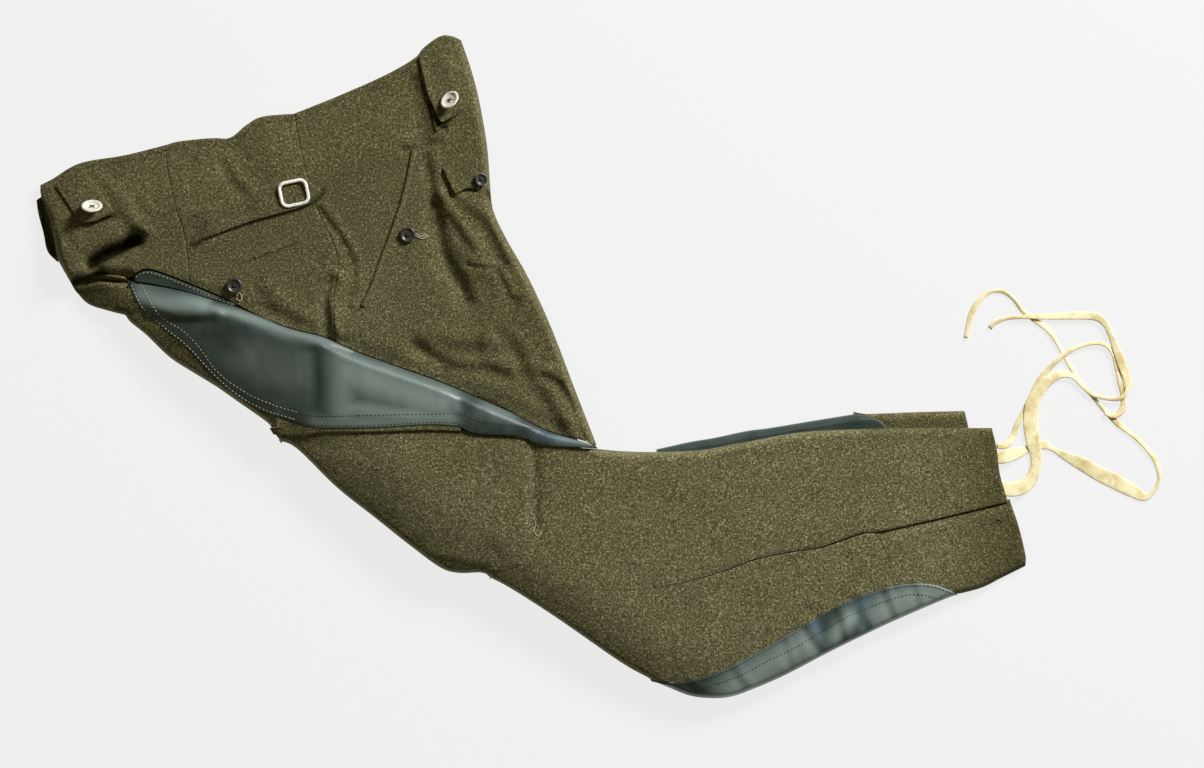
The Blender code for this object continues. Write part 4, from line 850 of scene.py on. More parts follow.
# Plan place, diameter, tilt in degrees and the direction that the raised side faces, height above
# the hip, as in the CAD model
Button = namedtuple("Button", "node x y diameter tilt turn stand")
WHITE_BUTTONS = (
    Button("white_button_left", 93, 208, 21.0, 55, -90, 8.7),
    Button("white_button_right", 451, 101.5, 20.5, 45, -135, 9.1),
)
DARK_BUTTONS = (
    Button("dark_button_hip", 235, 286, 15.6, 0, 0, LIE_GAP),
    Button("dark_button_pocket", 408, 235, 15.5, 0, 0, LIE_GAP),
    Button("dark_button_flap", 481, 180, 13.0, 12, 0, 2.9),
)
# Section of a button from the top of its well over the rim to the back: share of the radius, height
BUTTON_PROFILE = (
    (0.0, 1.75), (0.5, 1.6), (0.66, 1.9), (0.74, 2.7), (0.8, 2.95), (0.88, 3.0), (0.96, 2.7), (1.0, 2.1),
    (0.98, 1.5), (0.9, 0.6), (0.75, 0.1), (0.6, 0.0), (0.0, 0.0),
)
BUTTON_SIDES = 48
# Shares of the diameter: radius of a hole, and distance between two of them
HOLE = 0.105
HOLE_SPACING = 0.19
HOLE_SIDES = 14
HOLE_REACH = (-2.0, 6.0)
# Two strands each way over the holes: reach past half the holes' spacing, distance apart to each
# side, thickness, height over the well, how much higher the second way lies, how far the ends go
# down, and how suddenly
STRAND_REACH = 1.42
STRAND_STEPS = 13
STRAND_APART = 0.35
STRAND = 0.55
STRAND_HEIGHT = 2.1
STRAND_OVER = 0.25
STRAND_DOWN = 2.2
STRAND_BEND = 6


def hole_shape(diameter):
    """Four short rods where a button's holes are drilled."""
    reach, sides = diameter * HOLE_SPACING / 2, HOLE_SIDES
    places, faces = [], []
    for sx, sy in ((1, 1), (-1, 1), (-1, -1), (1, -1)):
        base = len(places)
        for z in HOLE_REACH:
            places += list(ring(diameter * HOLE / 2, z, sides) + (sx * reach, sy * reach, 0.0))
        faces += [(base + j, base + (j + 1) % sides, base + sides + (j + 1) % sides, base + sides + j)
                  for j in range(sides)]
        faces.append(tuple(base + j for j in range(sides))[::-1])
        faces.append(tuple(base + sides + j for j in range(sides)))
    return np.array(places) * MM, faces


def sewn_cross(row, thread):
    """The crossed strands of thread that hold a button, in the button's own place."""
    reach = row.diameter * HOLE_SPACING / 2 * STRAND_REACH
    strands = []
    for second, way in enumerate((45, 135)):
        along = np.array([math.cos(math.radians(way)), math.sin(math.radians(way)), 0])
        over = np.array([-along[1], along[0], 0])
        for shift in (-STRAND_APART, STRAND_APART):
            run = np.linspace(-1, 1, STRAND_STEPS)
            line = np.outer(run * reach, along) + over * shift
            line[:, 2] = STRAND_HEIGHT + STRAND_OVER * second - STRAND_DOWN * np.abs(run) ** STRAND_BEND
            strands.append(swept("strand", line * MM, STRAND * MM, STRAND * MM, thread, sides=6))
    return joined(strands, row.node + "_thread")


def button(row, finish, thread, finish_slot):
    """A turned four-hole button, sewn on with a cross of thread."""
    spot = np.array([[row.x, row.y]], float)
    place = in_metres(spot, hip_height(spot, fine=False) + row.stand)[0]
    profile = [(share * row.diameter / 2, height) for share, height in BUTTON_PROFILE]
    places, faces = turned_shape(profile, BUTTON_SIDES)
    made = new_piece(row.node + "_turned", places * MM, faces, finish)
    holes = new_piece("holes", *hole_shape(row.diameter), finish)
    drilled = made.modifiers.new("holes", "BOOLEAN")
    drilled.object = holes
    settled(made)
    bpy.data.objects.remove(holes)
    sewn = sewn_cross(row, thread)
    turn = Euler((0.0, math.radians(row.tilt), math.radians(-row.turn))).to_matrix().to_4x4()
    for piece in (made, sewn):
        piece.data.transform(Matrix.Translation(place) @ turn)
        piece.data.update()
    made.data.set_sharp_from_angle(angle=math.radians(SHARP_ANGLE))
    join_frame(made, finish_slot, row.node)
    join_frame(sewn, "cotton_tape")


def joined(pieces, name):
    """Several mesh pieces as one."""
    for piece in bpy.context.selected_objects:
        piece.select_set(False)
    for piece in pieces:
        piece.select_set(True)
    bpy.context.view_layer.objects.active = pieces[0]
    bpy.ops.object.join()
    pieces[0].name = name
    pieces[0].data.name = name
    return pieces[0]


BUCKLE_CENTRE = (294.5, 193.5)
BUCKLE_SIZE = (27.0, 23.5)
BUCKLE_CORNER = 6.5
BUCKLE_TURN = 12.0
BUCKLE_WIRE = 3.4
BUCKLE_THICK = 3.0
CORNER_STEPS = 10
# How deep the frame is pressed into the strap's cloth
BUCKLE_PRESSED = 0.5


def buckle(metal):
    """The rounded frame of the adjuster buckle, lying on its strap."""
    wide, high = (size / 2 - BUCKLE_CORNER for size in BUCKLE_SIZE)
    turn = math.radians(BUCKLE_TURN)
    plan = []
    for corner, (sx, sy) in enumerate(((1, 1), (-1, 1), (-1, -1), (1, -1))):
        for angle in np.radians(90 * corner + np.linspace(0, 90, CORNER_STEPS)):
            x = sx * wide + BUCKLE_CORNER * math.cos(angle)
            y = sy * high + BUCKLE_CORNER * math.sin(angle)
            plan.append((BUCKLE_CENTRE[0] + x * math.cos(turn) - y * math.sin(turn),
                         BUCKLE_CENTRE[1] - x * math.sin(turn) - y * math.cos(turn)))
    plan = np.array(plan)
    stand = LIE_GAP * 2 + TRIM_WALL + BUCKLE_WIRE / 2 - BUCKLE_PRESSED
    line = in_metres(plan, hip_height(plan, fine=False) + stand)
    piece = swept("buckle_frame_cast", line, BUCKLE_WIRE * MM, BUCKLE_THICK * MM, metal, closed=True,
                  sides=16, square=0.7)
    join_frame(piece, "buckle_metal", "buckle_frame")


# Routes of the cotton tapes, listed point by point: plan x and y, height of the upper side, width
TAPE_UPPER = (
    (998, 487, 6.6, 14), (1008, 489, 6.4, 15), (1020, 488, 5.0, 15), (1030, 481, 3.8, 13),
    (1036, 468, 3.2, 11), (1036, 454, 3.0, 12), (1033, 440, 3.0, 14), (1031, 422, 3.0, 15),
    (1033, 404, 3.0, 14), (1040, 390, 3.0, 12), (1051, 379, 3.0, 10), (1063, 374, 3.0, 8),
    (1074, 377, 3.0, 5), (1083, 386, 3.0, 4.5), (1092, 394, 3.2, 4), (1104, 398, 4.2, 4),
    (1119, 399, 4.6, 4), (1127, 392, 4.6, 5), (1128, 380, 4.6, 8), (1123, 366, 4.6, 9),
    (1117, 350, 4.6, 8), (1111, 335, 4.4, 6), (1106, 324, 4.0, 7), (1097, 317, 3.4, 8),
    (1082, 315.5, 3.0, 8), (1062, 316, 3.0, 7), (1042, 316.5, 3.0, 6), (1024, 317, 3.0, 4),
    (1008, 318, 2.2, 4), (996, 322, 1.5, 5), (990, 328, 1.5, 5),
)
TAPE_LOWER = (
    (995, 458, 6.6, 12), (1004, 457, 5.6, 13), (1015, 454, 3.4, 12), (1026, 450, 1.5, 8),
    (1036, 446, 1.5, 7), (1045, 445, 1.5, 9), (1053, 449, 1.5, 5), (1066, 456, 1.5, 9),
    (1082, 464, 1.5, 13), (1100, 474, 1.5, 15), (1118, 483, 1.5, 15), (1133, 491, 1.5, 13),
    (1145, 497, 1.5, 8), (1154, 492, 1.5, 4), (1160, 479, 1.5, 4), (1157, 463, 1.5, 5),
    (1148, 449, 1.5, 5), (1134, 436, 1.5, 4), (1119, 424, 1.5, 6), (1107, 413, 1.5, 4),
    (1097, 401, 1.5, 4), (1086, 388, 1.5, 4), (1074, 372, 1.5, 4), (1065, 356, 1.5, 4),
    (1056, 340, 1.5, 4), (1047, 328, 1.5, 6), (1035, 320, 1.5, 5), (1023, 311, 1.5, 4),
    (1014, 299, 1.5, 4), (1003, 291.5, 1.5, 4), (990, 292, 1.5, 4), (979, 301, 1.5, 5),
    (972, 314, 1.5, 6), (969, 326, 1.5, 6), (966, 338, 1.5, 4),
)
TAPE_UNDER = (
    (997, 446, 6.6, 5), (1006, 445.5, 4.8, 6), (1013, 437, 2.0, 6), (1018, 424, 1.5, 6),
    (1025, 410, 1.5, 5), (1032, 396, 1.5, 5), (1038, 384, 1.5, 6), (1047, 371, 2.2, 6),
    (1057, 361, 3.0, 5), (1068, 352, 3.0, 5), (1081, 346, 3.0, 4), (1094, 343, 3.0, 4),
    (1106, 345, 3.0, 4), (1114, 354, 3.0, 5), (1118, 368, 3.0, 6), (1121, 383, 3.0, 6),
    (1124, 397, 3.0, 6), (1123, 409, 3.0, 7), (1115, 416, 3.0, 5), (1105, 413, 3.0, 4),
)
TAPE_STEP = 2.0
TAPE_THICK = 1.0
# A tape drawn narrower is thicker: width, thickness. The loosest part turns over most, in degrees,
# and turns back over a length in metres.
THICKNESS = ((4, 2.0), (6, 1.7), (10, 1.1), (15, 1.0))
THICK_RISE = 0.3
TWIST = ((5, 14.0), (12, 2.0))
TWIST_LENGTH = 0.021
Tape = namedtuple("Tape", "node route width")
TAPES = (
    Tape("tape_upper", TAPE_UPPER, 0.0155),
    Tape("tape_lower", TAPE_LOWER, 0.0155),
    Tape("tape_under", TAPE_UNDER, 0.0065),
)


def plan_length(line):
    """Length of a line laid straight from point to point."""
    return sum(math.dist(a[:2], b[:2]) for a, b in zip(line[:-1], line[1:]))


def tapes(cotton):
    """The cotton tapes that tie the calf, lying free: flat where wide, drawn into a strand where narrow."""
    for row in TAPES:
        line = smooth_line(row.route, round(plan_length(row.route) / TAPE_STEP))
        widths = line[:, 3]
        thick = level(THICKNESS, widths)
        centre = in_metres(line[:, :2], line[:, 2] - TAPE_THICK / 2 + (thick - TAPE_THICK) * THICK_RISE)
        run = np.concatenate([[0], np.cumsum(np.linalg.norm(np.diff(centre, axis=0), axis=1))])
        turns = level(TWIST, widths) * np.sin(run / TWIST_LENGTH)
        piece = swept(row.node + "_cotton", centre, widths * MM, thick * MM, cotton, turns=turns, sides=14,
                      square=0.6)
        join_frame(piece, "cotton_tape", row.node)


# Rows of stitches: plan line, the surface that it is sewn to, pitch, stitch length, thread, lift
Row = namedtuple("Row", "name line surface pitch length thread lift")
PITCH = 4.0
STITCH = 2.7
CLOTH_PITCH = 3.4
CLOTH_STITCH = 2.4
BAR_PITCH = 2.0
STITCH_ROWS = (
    Row("seat_inner",
        ((141, 284), (160, 315), (185, 332), (201, 349), (219, 373), (247, 393), (274, 405), (297, 412)),
        "thigh", PITCH, STITCH, "pale", LEATHER_RAISE),
    Row("seat_edge",
        ((132, 286), (144, 309), (166, 328.5), (189, 347), (212, 372), (235, 392.5), (262, 408.5),
         (294, 419)),
        "thigh", PITCH, STITCH, "pale", LEATHER_RAISE),
    Row("thigh_inner",
        ((300, 412.5), (320, 416), (375, 415), (426, 414), (460, 414), (480, 421), (510, 425), (536, 429)),
        "thigh", PITCH, STITCH, "dark", LEATHER_RAISE),
    Row("thigh_edge",
        ((296, 419.5), (320, 425), (375, 425), (431, 422), (462, 424), (480, 431), (524, 434), (536, 440),
         (560, 443), (590, 446)),
        "thigh", PITCH, STITCH, "dark", LEATHER_RAISE),
    Row("right_seat_edge", ((137, 277), (143, 273.5), (155, 274), (188, 286.5), (213, 297.5), (232, 304.5)),
        "hip", PITCH, STITCH, "pale", CALF_LEATHER_RAISE),
    Row("calf_edge",
        ((655, 681), (674, 684.5), (706, 678.5), (738, 664.5), (781, 640.5), (807, 625.5), (848, 603.5),
         (888, 589.5), (915, 585.5), (936, 587.5), (953, 594)),
        "leg", PITCH, STITCH, "dark", CALF_LEATHER_RAISE),
    Row("calf_inner",
        ((684, 689), (708, 686), (740, 675), (770, 659), (797, 646), (842, 619), (888, 600), (915, 594),
         (940, 599)),
        "leg", PITCH, STITCH, "dark", CALF_LEATHER_RAISE),
    Row("right_calf_inner", ((668, 455), (714, 448), (747, 441), (794, 431), (842, 424), (862, 416.5)),
        "right_calf", PITCH, STITCH, "dark", RIGHT_LEATHER_RAISE),
    Row("side_seam",
        ((700, 575), (724, 567.5), (758, 555.5), (793, 548.5), (820, 544.5), (861, 530.5), (877, 529.5)),
        "leg", CLOTH_PITCH, CLOTH_STITCH, "olive", 0.0),
    Row("placket_edge", ((879, 529.5), (940, 515.5), (1004, 499.5)),
        "leg", CLOTH_PITCH, CLOTH_STITCH, "olive", 0.5),
    Row("placket_bar", ((879, 535), (890, 561)), "leg", BAR_PITCH, BAR_PITCH, "olive", 0.0),
    Row("hem_turn", ((986, 431), (990.5, 452), (993.5, 476), (1000, 499)),
        "leg", CLOTH_PITCH, CLOTH_STITCH, "olive", 0.0),
    Row("calf_hem_turn", ((1004, 505), (1012, 529), (1018, 555), (1019, 566)),
        "leg", CLOTH_PITCH, CLOTH_STITCH, "olive", 0.0),
    Row("waist_left", ((57, 184), (82, 169), (126, 161), (164, 151)),
        "hip", CLOTH_PITCH, CLOTH_STITCH, "olive", 0.0),
    Row("waist_back", ((168, 150), (211, 144), (232, 143), (248, 131), (264, 122.5), (292, 119.5)),
        "hip", CLOTH_PITCH, CLOTH_STITCH, "olive", 0.0),
    Row("waist_front", ((297, 119), (342, 101), (389, 80), (416, 66)),
        "hip", CLOTH_PITCH, CLOTH_STITCH, "olive", 0.0),
)
SURFACES = {"hip": hip_height, "leg": leg_height, "thigh": thigh_height, "right_calf": right_calf_height}
THREAD = 0.75


def stitch_tree():
    """A Geometry Nodes tree that sews a row of short threads along each line of its mesh."""
    tree = bpy.data.node_groups.new("stitch_rows", "GeometryNodeTree")
    tree.is_modifier = True
    tree.interface.new_socket("Geometry", in_out="INPUT", socket_type="NodeSocketGeometry")
    for name, kind in (("Pitch", "Float"), ("Stitch length", "Float"), ("Thread", "Float"), ("Seed", "Int"),
                       ("Material", "Material")):
        tree.interface.new_socket(name, in_out="INPUT", socket_type="NodeSocket" + kind)
    tree.interface.new_socket("Geometry", in_out="OUTPUT", socket_type="NodeSocketGeometry")
    given = tree.nodes.new("NodeGroupInput").outputs
    line = add(tree, "GeometryNodeMeshToCurve", {"Mesh": given["Geometry"]})
    line = add(tree, "GeometryNodeResampleCurve", {"Curve": line.outputs[0], "Length": given["Pitch"]},
               mode="LENGTH")
    size = add(tree, "ShaderNodeCombineXYZ",
               {"X": given["Stitch length"], "Y": given["Thread"], "Z": given["Thread"]})
    strand = add(tree, "GeometryNodeMeshUVSphere", {"Segments": 6, "Rings": 5, "Radius": 0.5})
    strand = add(tree, "GeometryNodeTransform", {"Geometry": strand.outputs[0], "Scale": size.outputs[0]})
    way = add(tree, "GeometryNodeInputTangent")
    turn = add(tree, "FunctionNodeAlignRotationToVector", {"Vector": way.outputs[0]}, axis="X")
    spread = add(tree, "FunctionNodeRandomValue",
                 {0: (0.8, 0.85, 0.85), 1: (1.1, 1.15, 1.15), "Seed": given["Seed"]},
                 data_type="FLOAT_VECTOR")
    sewn = add(tree, "GeometryNodeInstanceOnPoints",
               {"Points": line.outputs[0], "Instance": strand.outputs[0], "Rotation": turn.outputs[0],
                "Scale": spread.outputs[0]})
    sewn = add(tree, "GeometryNodeRealizeInstances", {"Geometry": sewn.outputs[0]})
    sewn = add(tree, "GeometryNodeSetMaterial",
               {"Geometry": sewn.outputs[0], "Material": given["Material"]})
    sewn = add(tree, "GeometryNodeSetShadeSmooth", {"Geometry": sewn.outputs[0]})
    add(tree, "NodeGroupOutput", {"Geometry": sewn.outputs[0]})
    return tree


# Step along a row before the stitches are set out, and how far a thread stands out of its surface
ROW_STEP = 2.0
THREAD_STAND = THREAD * 0.2


def stitches(threads):
    """Every row of sewing, on the surface that it holds down."""
    tree = stitch_tree()
    for seed, row in enumerate(STITCH_ROWS):
        plan = smooth_line(row.line, round(plan_length(row.line) / ROW_STEP))
        places = in_metres(plan, SURFACES[row.surface](plan) + row.lift + THREAD_STAND)
        mesh = bpy.data.meshes.new(row.name)
        mesh.from_pydata([tuple(p) for p in places], [(i, i + 1) for i in range(len(places) - 1)], [])
        piece = bpy.data.objects.new("stitches_" + row.name, mesh)
        bpy.context.scene.collection.objects.link(piece)
        sewing = piece.modifiers.new("sewing", "NODES")
        sewing.node_group = tree
        values = {"Pitch": row.pitch * MM, "Stitch length": row.length * MM, "Thread": THREAD * MM,
                  "Seed": seed, "Material": threads[row.thread]}
        for item in tree.interface.items_tree:
            if item.name in values:
                sewing[item.identifier] = values[item.name]
        settled(piece)
        join_frame(piece, "wool" if row.thread != "pale" else "cotton_tape")


# Loose ends of thread: plan x and y, height above the cloth
Tail = namedtuple("Tail", "name line")
TAILS = (
    Tail("hip_button_tail_a",
         ((235, 291, 0.6), (238, 295, 0.8), (237, 299, 0.6), (241, 301, 0.5), (243, 298, 0.5))),
    Tail("hip_button_tail_b", ((237, 292, 0.6), (241, 294, 0.9), (242, 298, 0.6), (240, 303, 0.5))),
    Tail("pocket_button_tail_a",
         ((412, 236, 1.2), (417, 234, 0.9), (421, 237, 0.6), (426, 235, 0.5), (429, 238, 0.5))),
    Tail("pocket_button_tail_b", ((413, 234, 1.2), (418, 237, 0.9), (423, 239, 0.6), (427, 236, 0.5))),
    Tail("lint_hair",
         ((533, 517, 0.5), (536, 524, 0.8), (534, 531, 0.7), (539, 536, 0.5), (541, 532, 0.5))),
)
TAIL_STEPS = 24
TAIL_SIZE = (0.7, 0.6)


def loose_threads(pale):
    """Tails of sewing thread at two buttons, and a hair of lint."""
    for tail in TAILS:
        line = smooth_line(tail.line, TAIL_STEPS)
        surface = leg_height if tail.name == "lint_hair" else hip_height
        places = in_metres(line[:, :2], surface(line[:, :2]) + line[:, 2])
        piece = swept(tail.name, places, TAIL_SIZE[0] * MM, TAIL_SIZE[1] * MM, pale, sides=6)
        join_frame(piece, "cotton_tape")


Eyelet = namedtuple("Eyelet", "name x y diameter")
EYELETS = (Eyelet("eyelet_placket", 987.5, 492.5, 3.6), Eyelet("eyelet_calf", 999, 522, 5.2))
# Section from the sunk middle over the ring to the back: share of the radius, height above the cloth
EYELET_PROFILE = (
    (0.0, -0.5), (0.45, -0.4), (0.6, 0.25), (0.8, 0.5), (1.0, 0.1), (1.0, -0.6), (0.0, -0.6),
)
EYELET_SIDES = 24


def eyelets(dark):
    """Two dark lacing eyelets by the hem: a pressed ring with its sunk middle."""
    for row in EYELETS:
        spot = np.array([[row.x, row.y]], float)
        profile = [(share * row.diameter / 2, height) for share, height in EYELET_PROFILE]
        places, faces = turned_shape(profile, EYELET_SIDES)
        places = places * MM + in_metres(spot, leg_height(spot))[0]
        piece = new_piece(row.name, places, faces, dark)
        join_frame(piece, "dark_button")


def linear(hex_colour, alpha=1.0):
    """An sRGB hex colour as the linear values that the shaders take."""
    values = [int(hex_colour[i : i + 2], 16) / 255 for i in (1, 3, 5)]
    values = [v / 12.92 if v <= 0.04045 else ((v + 0.055) / 1.055) ** 2.4 for v in values]
    return (*values, alpha)


def add(tree, kind, inputs=None, **settings):
    """Adds a node with its settings; an input's value is a number, a colour or another node's socket."""
    made = tree.nodes.new(kind)
    for key, value in settings.items():
        setattr(made, key, value)
    for key, value in (inputs or {}).items():
        if isinstance(value, bpy.types.NodeSocket):
            tree.links.new(value, made.inputs[key])
        else:
            made.inputs[key].default_value = value
    return made


def new_material(name, **shader_values):
    """A material and its Principled shader, with constants set on the shader's own sockets."""
    made = bpy.data.materials.new(name)
    made.use_nodes = True
    shader = made.node_tree.nodes["Principled BSDF"]
    for key, value in shader_values.items():
        shader.inputs[key.replace("_", " ")].default_value = value
    return made, made.node_tree, shader


def blended(tree, share, first, second, mode="MIX"):
    """The colour that a share of one colour mixed into another gives."""
    mix = add(tree, "ShaderNodeMix", {0: share, 6: first, 7: second}, data_type="RGBA", blend_type=mode)
    return mix.outputs[2]


def grain(tree, size_mm, detail, roughness):
    """A noise whose grains are about the given size on the object."""
    where = add(tree, "ShaderNodeTexCoord").outputs["Object"]
    return add(tree, "ShaderNodeTexNoise", {"Vector": where, "Scale": 1 / (size_mm * MM), "Detail": detail,
                                            "Roughness": roughness}).outputs[0]


def ranged(tree, value, low, high, to_low=0.0, to_high=1.0):
    """A value taken from one range to another, held at its ends."""
    made = add(tree, "ShaderNodeMapRange", {0: value, 1: low, 2: high, 3: to_low, 4: to_high}, clamp=True)
    return made.outputs[0]


def marked(tree, name):
    """The share that a piece's own attribute gives each place."""
    return add(tree, "ShaderNodeAttribute", attribute_name=name).outputs["Fac"]


def coated(tree, shader, base, *bumps):
    """Gives a shader its colour, and its relief from (strength, depth in metres, height) rows."""
    tree.links.new(base, shader.inputs["Base Color"])
    for strength, depth, height in bumps:
        values = {"Strength": strength, "Distance": depth, "Height": height}
        if shader.inputs["Normal"].is_linked:
            values["Normal"] = shader.inputs["Normal"].links[0].from_socket
        bump = add(tree, "ShaderNodeBump", values)
        tree.links.new(bump.outputs[0], shader.inputs["Normal"])


def milled_wool():
    """Milled woollen cloth, spun from dyed and pale fibres: a matt, nappy heather of olive flecks.

    The flecks are about twice as coarse as real ones, so that they show.
    """
    made, tree, shader = new_material("milled_wool", Roughness=0.95, Sheen_Weight=0.12, Sheen_Roughness=0.5,
                                      Sheen_Tint=linear("#c9c49a"), Specular_IOR_Level=0.25)
    fleck = grain(tree, 1.9, 3.0, 0.75)
    fibre = grain(tree, 0.9, 2.0, 0.6)
    blot = grain(tree, 34.0, 3.0, 0.6)
    brown = grain(tree, 60.0, 2.0, 0.5)
    base = blended(tree, ranged(tree, brown, 0.4, 0.62), linear("#605d3f"), linear("#625a3b"))
    base = blended(tree, ranged(tree, blot, 0.35, 0.68), base, linear("#585637"))
    base = blended(tree, ranged(tree, fleck, 0.54, 0.66), base, linear("#a7a27c"))
    base = blended(tree, ranged(tree, fleck, 0.47, 0.36), base, linear("#29290f"))
    base = blended(tree, ranged(tree, fibre, 0.5, 0.7, 0.0, 0.5), base, linear("#2c2c18"))
    # Darker on the hip and by the hems, and painted shade in the deep fold above the seat and along the
    # leg's lower outline
    base = blended(tree, marked(tree, "darkened_and_painted_shade"), base, DARKENED_AND_SHADE_TONE, mode="MULTIPLY")
    # Painted shade in the deepest folds and beside the tabs, strap and flap: a darker colour, with less
    # sheen and gloss
    painted_shade = marked(tree, "painted_shade")
    base = blended(tree, painted_shade, base, PAINTED_SHADE_TONE, mode="MULTIPLY")
    tree.links.new(ranged(tree, painted_shade, 0.0, 0.6, 0.12, 0.0), shader.inputs["Sheen Weight"])
    tree.links.new(ranged(tree, painted_shade, 0.0, 0.6, 0.25, 0.0), shader.inputs["Specular IOR Level"])
    coated(tree, shader, base, (0.55, 0.0007, fleck), (0.35, 0.0004, fibre))
    return made


def strapping_leather():
    """Pigmented strapping hide, blue-green gone grey with wear, with painted highlight and sheen on the
    thigh and calf: smooth, faintly grained, half glossy.
    """
    made, tree, shader = new_material(LEATHER_NAME, Roughness=0.42, Specular_IOR_Level=0.45)
    cloud = grain(tree, 26.0, 4.0, 0.6)
    scuff = grain(tree, 3.0, 4.0, 0.7)
    pores = add(tree, "ShaderNodeTexVoronoi",
                {"Vector": add(tree, "ShaderNodeTexCoord").outputs["Object"], "Scale": 1 / (1.3 * MM)},
                feature="F1").outputs["Distance"]
    base = blended(tree, ranged(tree, cloud, 0.35, 0.65), linear("#222e2a"), linear("#323f38"))
    base = blended(tree, marked(tree, "blue"), base, linear("#3a5060"))
    # Paler where worn, and painted highlight along the thigh's ridge, painted reflection in the thigh's
    # middle and painted sheen on the calf
    base = blended(tree, marked(tree, "wear_and_highlight"), base, linear("#7f8d87"))
    base = blended(tree, ranged(tree, scuff, 0.6, 0.75, 0.0, 0.25), base, linear("#6f7b70"))
    tree.links.new(ranged(tree, cloud, 0.3, 0.7, 0.36, 0.5), shader.inputs["Roughness"])
    coated(tree, shader, base, (0.25, 0.0004, pores), (0.3, 0.0006, scuff))
    return made


def sewing_thread(name, light, dark):
    """Twisted sewing thread: matt, with the twist as darker slants."""
    made, tree, shader = new_material(name, Roughness=0.8)
    twist = grain(tree, 0.5, 1.0, 0.5)
    coated(tree, shader, blended(tree, ranged(tree, twist, 0.4, 0.6), linear(dark), linear(light)))
    return made


def cast_button(name, light, dark, gloss):
    """Moulded button plastic, clouded by wear: smooth, with a soft gloss on the rim."""
    made, tree, shader = new_material(name, Roughness=gloss, IOR=1.52)
    cloud = grain(tree, 4.0, 3.0, 0.6)
    base = blended(tree, ranged(tree, cloud, 0.4, 0.7), linear(light), linear(dark))
    coated(tree, shader, base, (0.1, 0.0002, grain(tree, 1.2, 2.0, 0.5)))
    return made


def enamelled_buckle():
    """Cast buckle metal under worn white enamel: pale and satin, with greyer rubbed patches."""
    made, tree, shader = new_material("enamelled_buckle", Roughness=0.3, IOR=1.5, Coat_Weight=0.3)
    rub = grain(tree, 3.0, 3.0, 0.6)
    base = blended(tree, ranged(tree, rub, 0.52, 0.68), linear("#efefe8"), linear("#b9b8ac"))
    coated(tree, shader, base, (0.15, 0.0003, rub))
    return made


def cotton_tape():
    """Woven cotton tape, undyed and yellowed: matt, fine ribs, browner in its weave and in patches."""
    made, tree, shader = new_material("cotton_tape", Roughness=0.9, Sheen_Weight=0.1)
    weave = grain(tree, 1.1, 2.0, 0.5)
    age = grain(tree, 16.0, 3.0, 0.6)
    base = blended(tree, ranged(tree, age, 0.42, 0.68), linear("#efe6bb"), linear("#d2bd83"))
    base = blended(tree, ranged(tree, weave, 0.5, 0.75, 0.0, 0.5), base, linear("#a58d58"))
    coated(tree, shader, base, (0.4, 0.0004, weave))
    return made


def eyelet_metal():
    """Japanned eyelet metal: near black, satin, chipped to a lighter brown."""
    made, tree, shader = new_material("japanned_eyelet", Roughness=0.4, Metallic=0.6)
    chip = grain(tree, 0.8, 2.0, 0.5)
    coated(tree, shader, blended(tree, ranged(tree, chip, 0.5, 0.8), linear("#15140f"), linear("#3a372c")))
    return made


# Worn, bluish and darker places, and places of painted shade and painted highlight: plan line, reach,
# strength, how crisp the patch ends
Patch = namedtuple("Patch", "line reach strength crispness", defaults=(2,))
# Paler leather: wear, and painted highlight along the thigh's ridge, painted reflection in the thigh's
# middle and painted sheen on the calf
WEAR_AND_PAINTED_HIGHLIGHT = (
    Patch(((345, 362), (345, 416)), 15.0, 0.6),
    Patch(((350, 372), (395, 388), (440, 402)), 18.0, 0.85),
    Patch(((350, 408), (400, 414), (448, 416)), 10.0, 0.7),
    Patch(((205, 306), (240, 314), (262, 321), (288, 331), (320, 339), (335, 345)), 4.5, 0.6),
    Patch(((320, 425), (375, 424), (450, 420)), 10.0, 0.6),
    Patch(((142, 296), (165, 302), (205, 306)), 8.5, 0.75),
    Patch(((488, 408), (510, 416)), 10.0, 0.35),
    Patch(((560, 440), (590, 446)), 6.0, 0.3),
    Patch(((333, 345), (343, 348), (352, 351)), 2.6, 1.0),
    Patch(((250, 360), (290, 375)), 22.0, 0.3),
    Patch(((730, 690), (775, 662), (805, 645)), 18.0, 1.0),
    Patch(((834, 636), (850, 618)), 9.0, 1.0),
    Patch(((880, 614), (905, 602), (950, 594)), 18.0, 1.0),
)
# What the darker cloth keeps of its colour: darker on the hip and by the hems, and painted shade in the
# deep fold above the seat and on the slope inside the leg's lower outline
DARKENED_AND_SHADE_TONE = (0.52, 0.5, 0.34, 1.0)
DARKER_AND_PAINTED_SHADE = (
    Patch(((95, 195), (300, 195), (440, 60), (470, 180), (520, 330)), 125.0, 0.62),
    Patch(((1000, 445), (1015, 560)), 50.0, 0.9),
    Patch(((92, 263), (105, 255), (120, 249), (136, 240)), 7.0, 1.0),
    Patch(((875, 424), (965, 422)), 14.0, 0.75),
    Patch(((278, 440), (336, 487), (409, 545), (439, 567), (480, 573), (513, 590), (558, 619), (620, 662)),
          26.0, 0.3),
)
# Painted shade: what the cloth's colour keeps inside the deepest folds and in the shadows beside the tabs,
# strap and flap
PAINTED_SHADE_TONE = (0.14, 0.14, 0.12, 1.0)
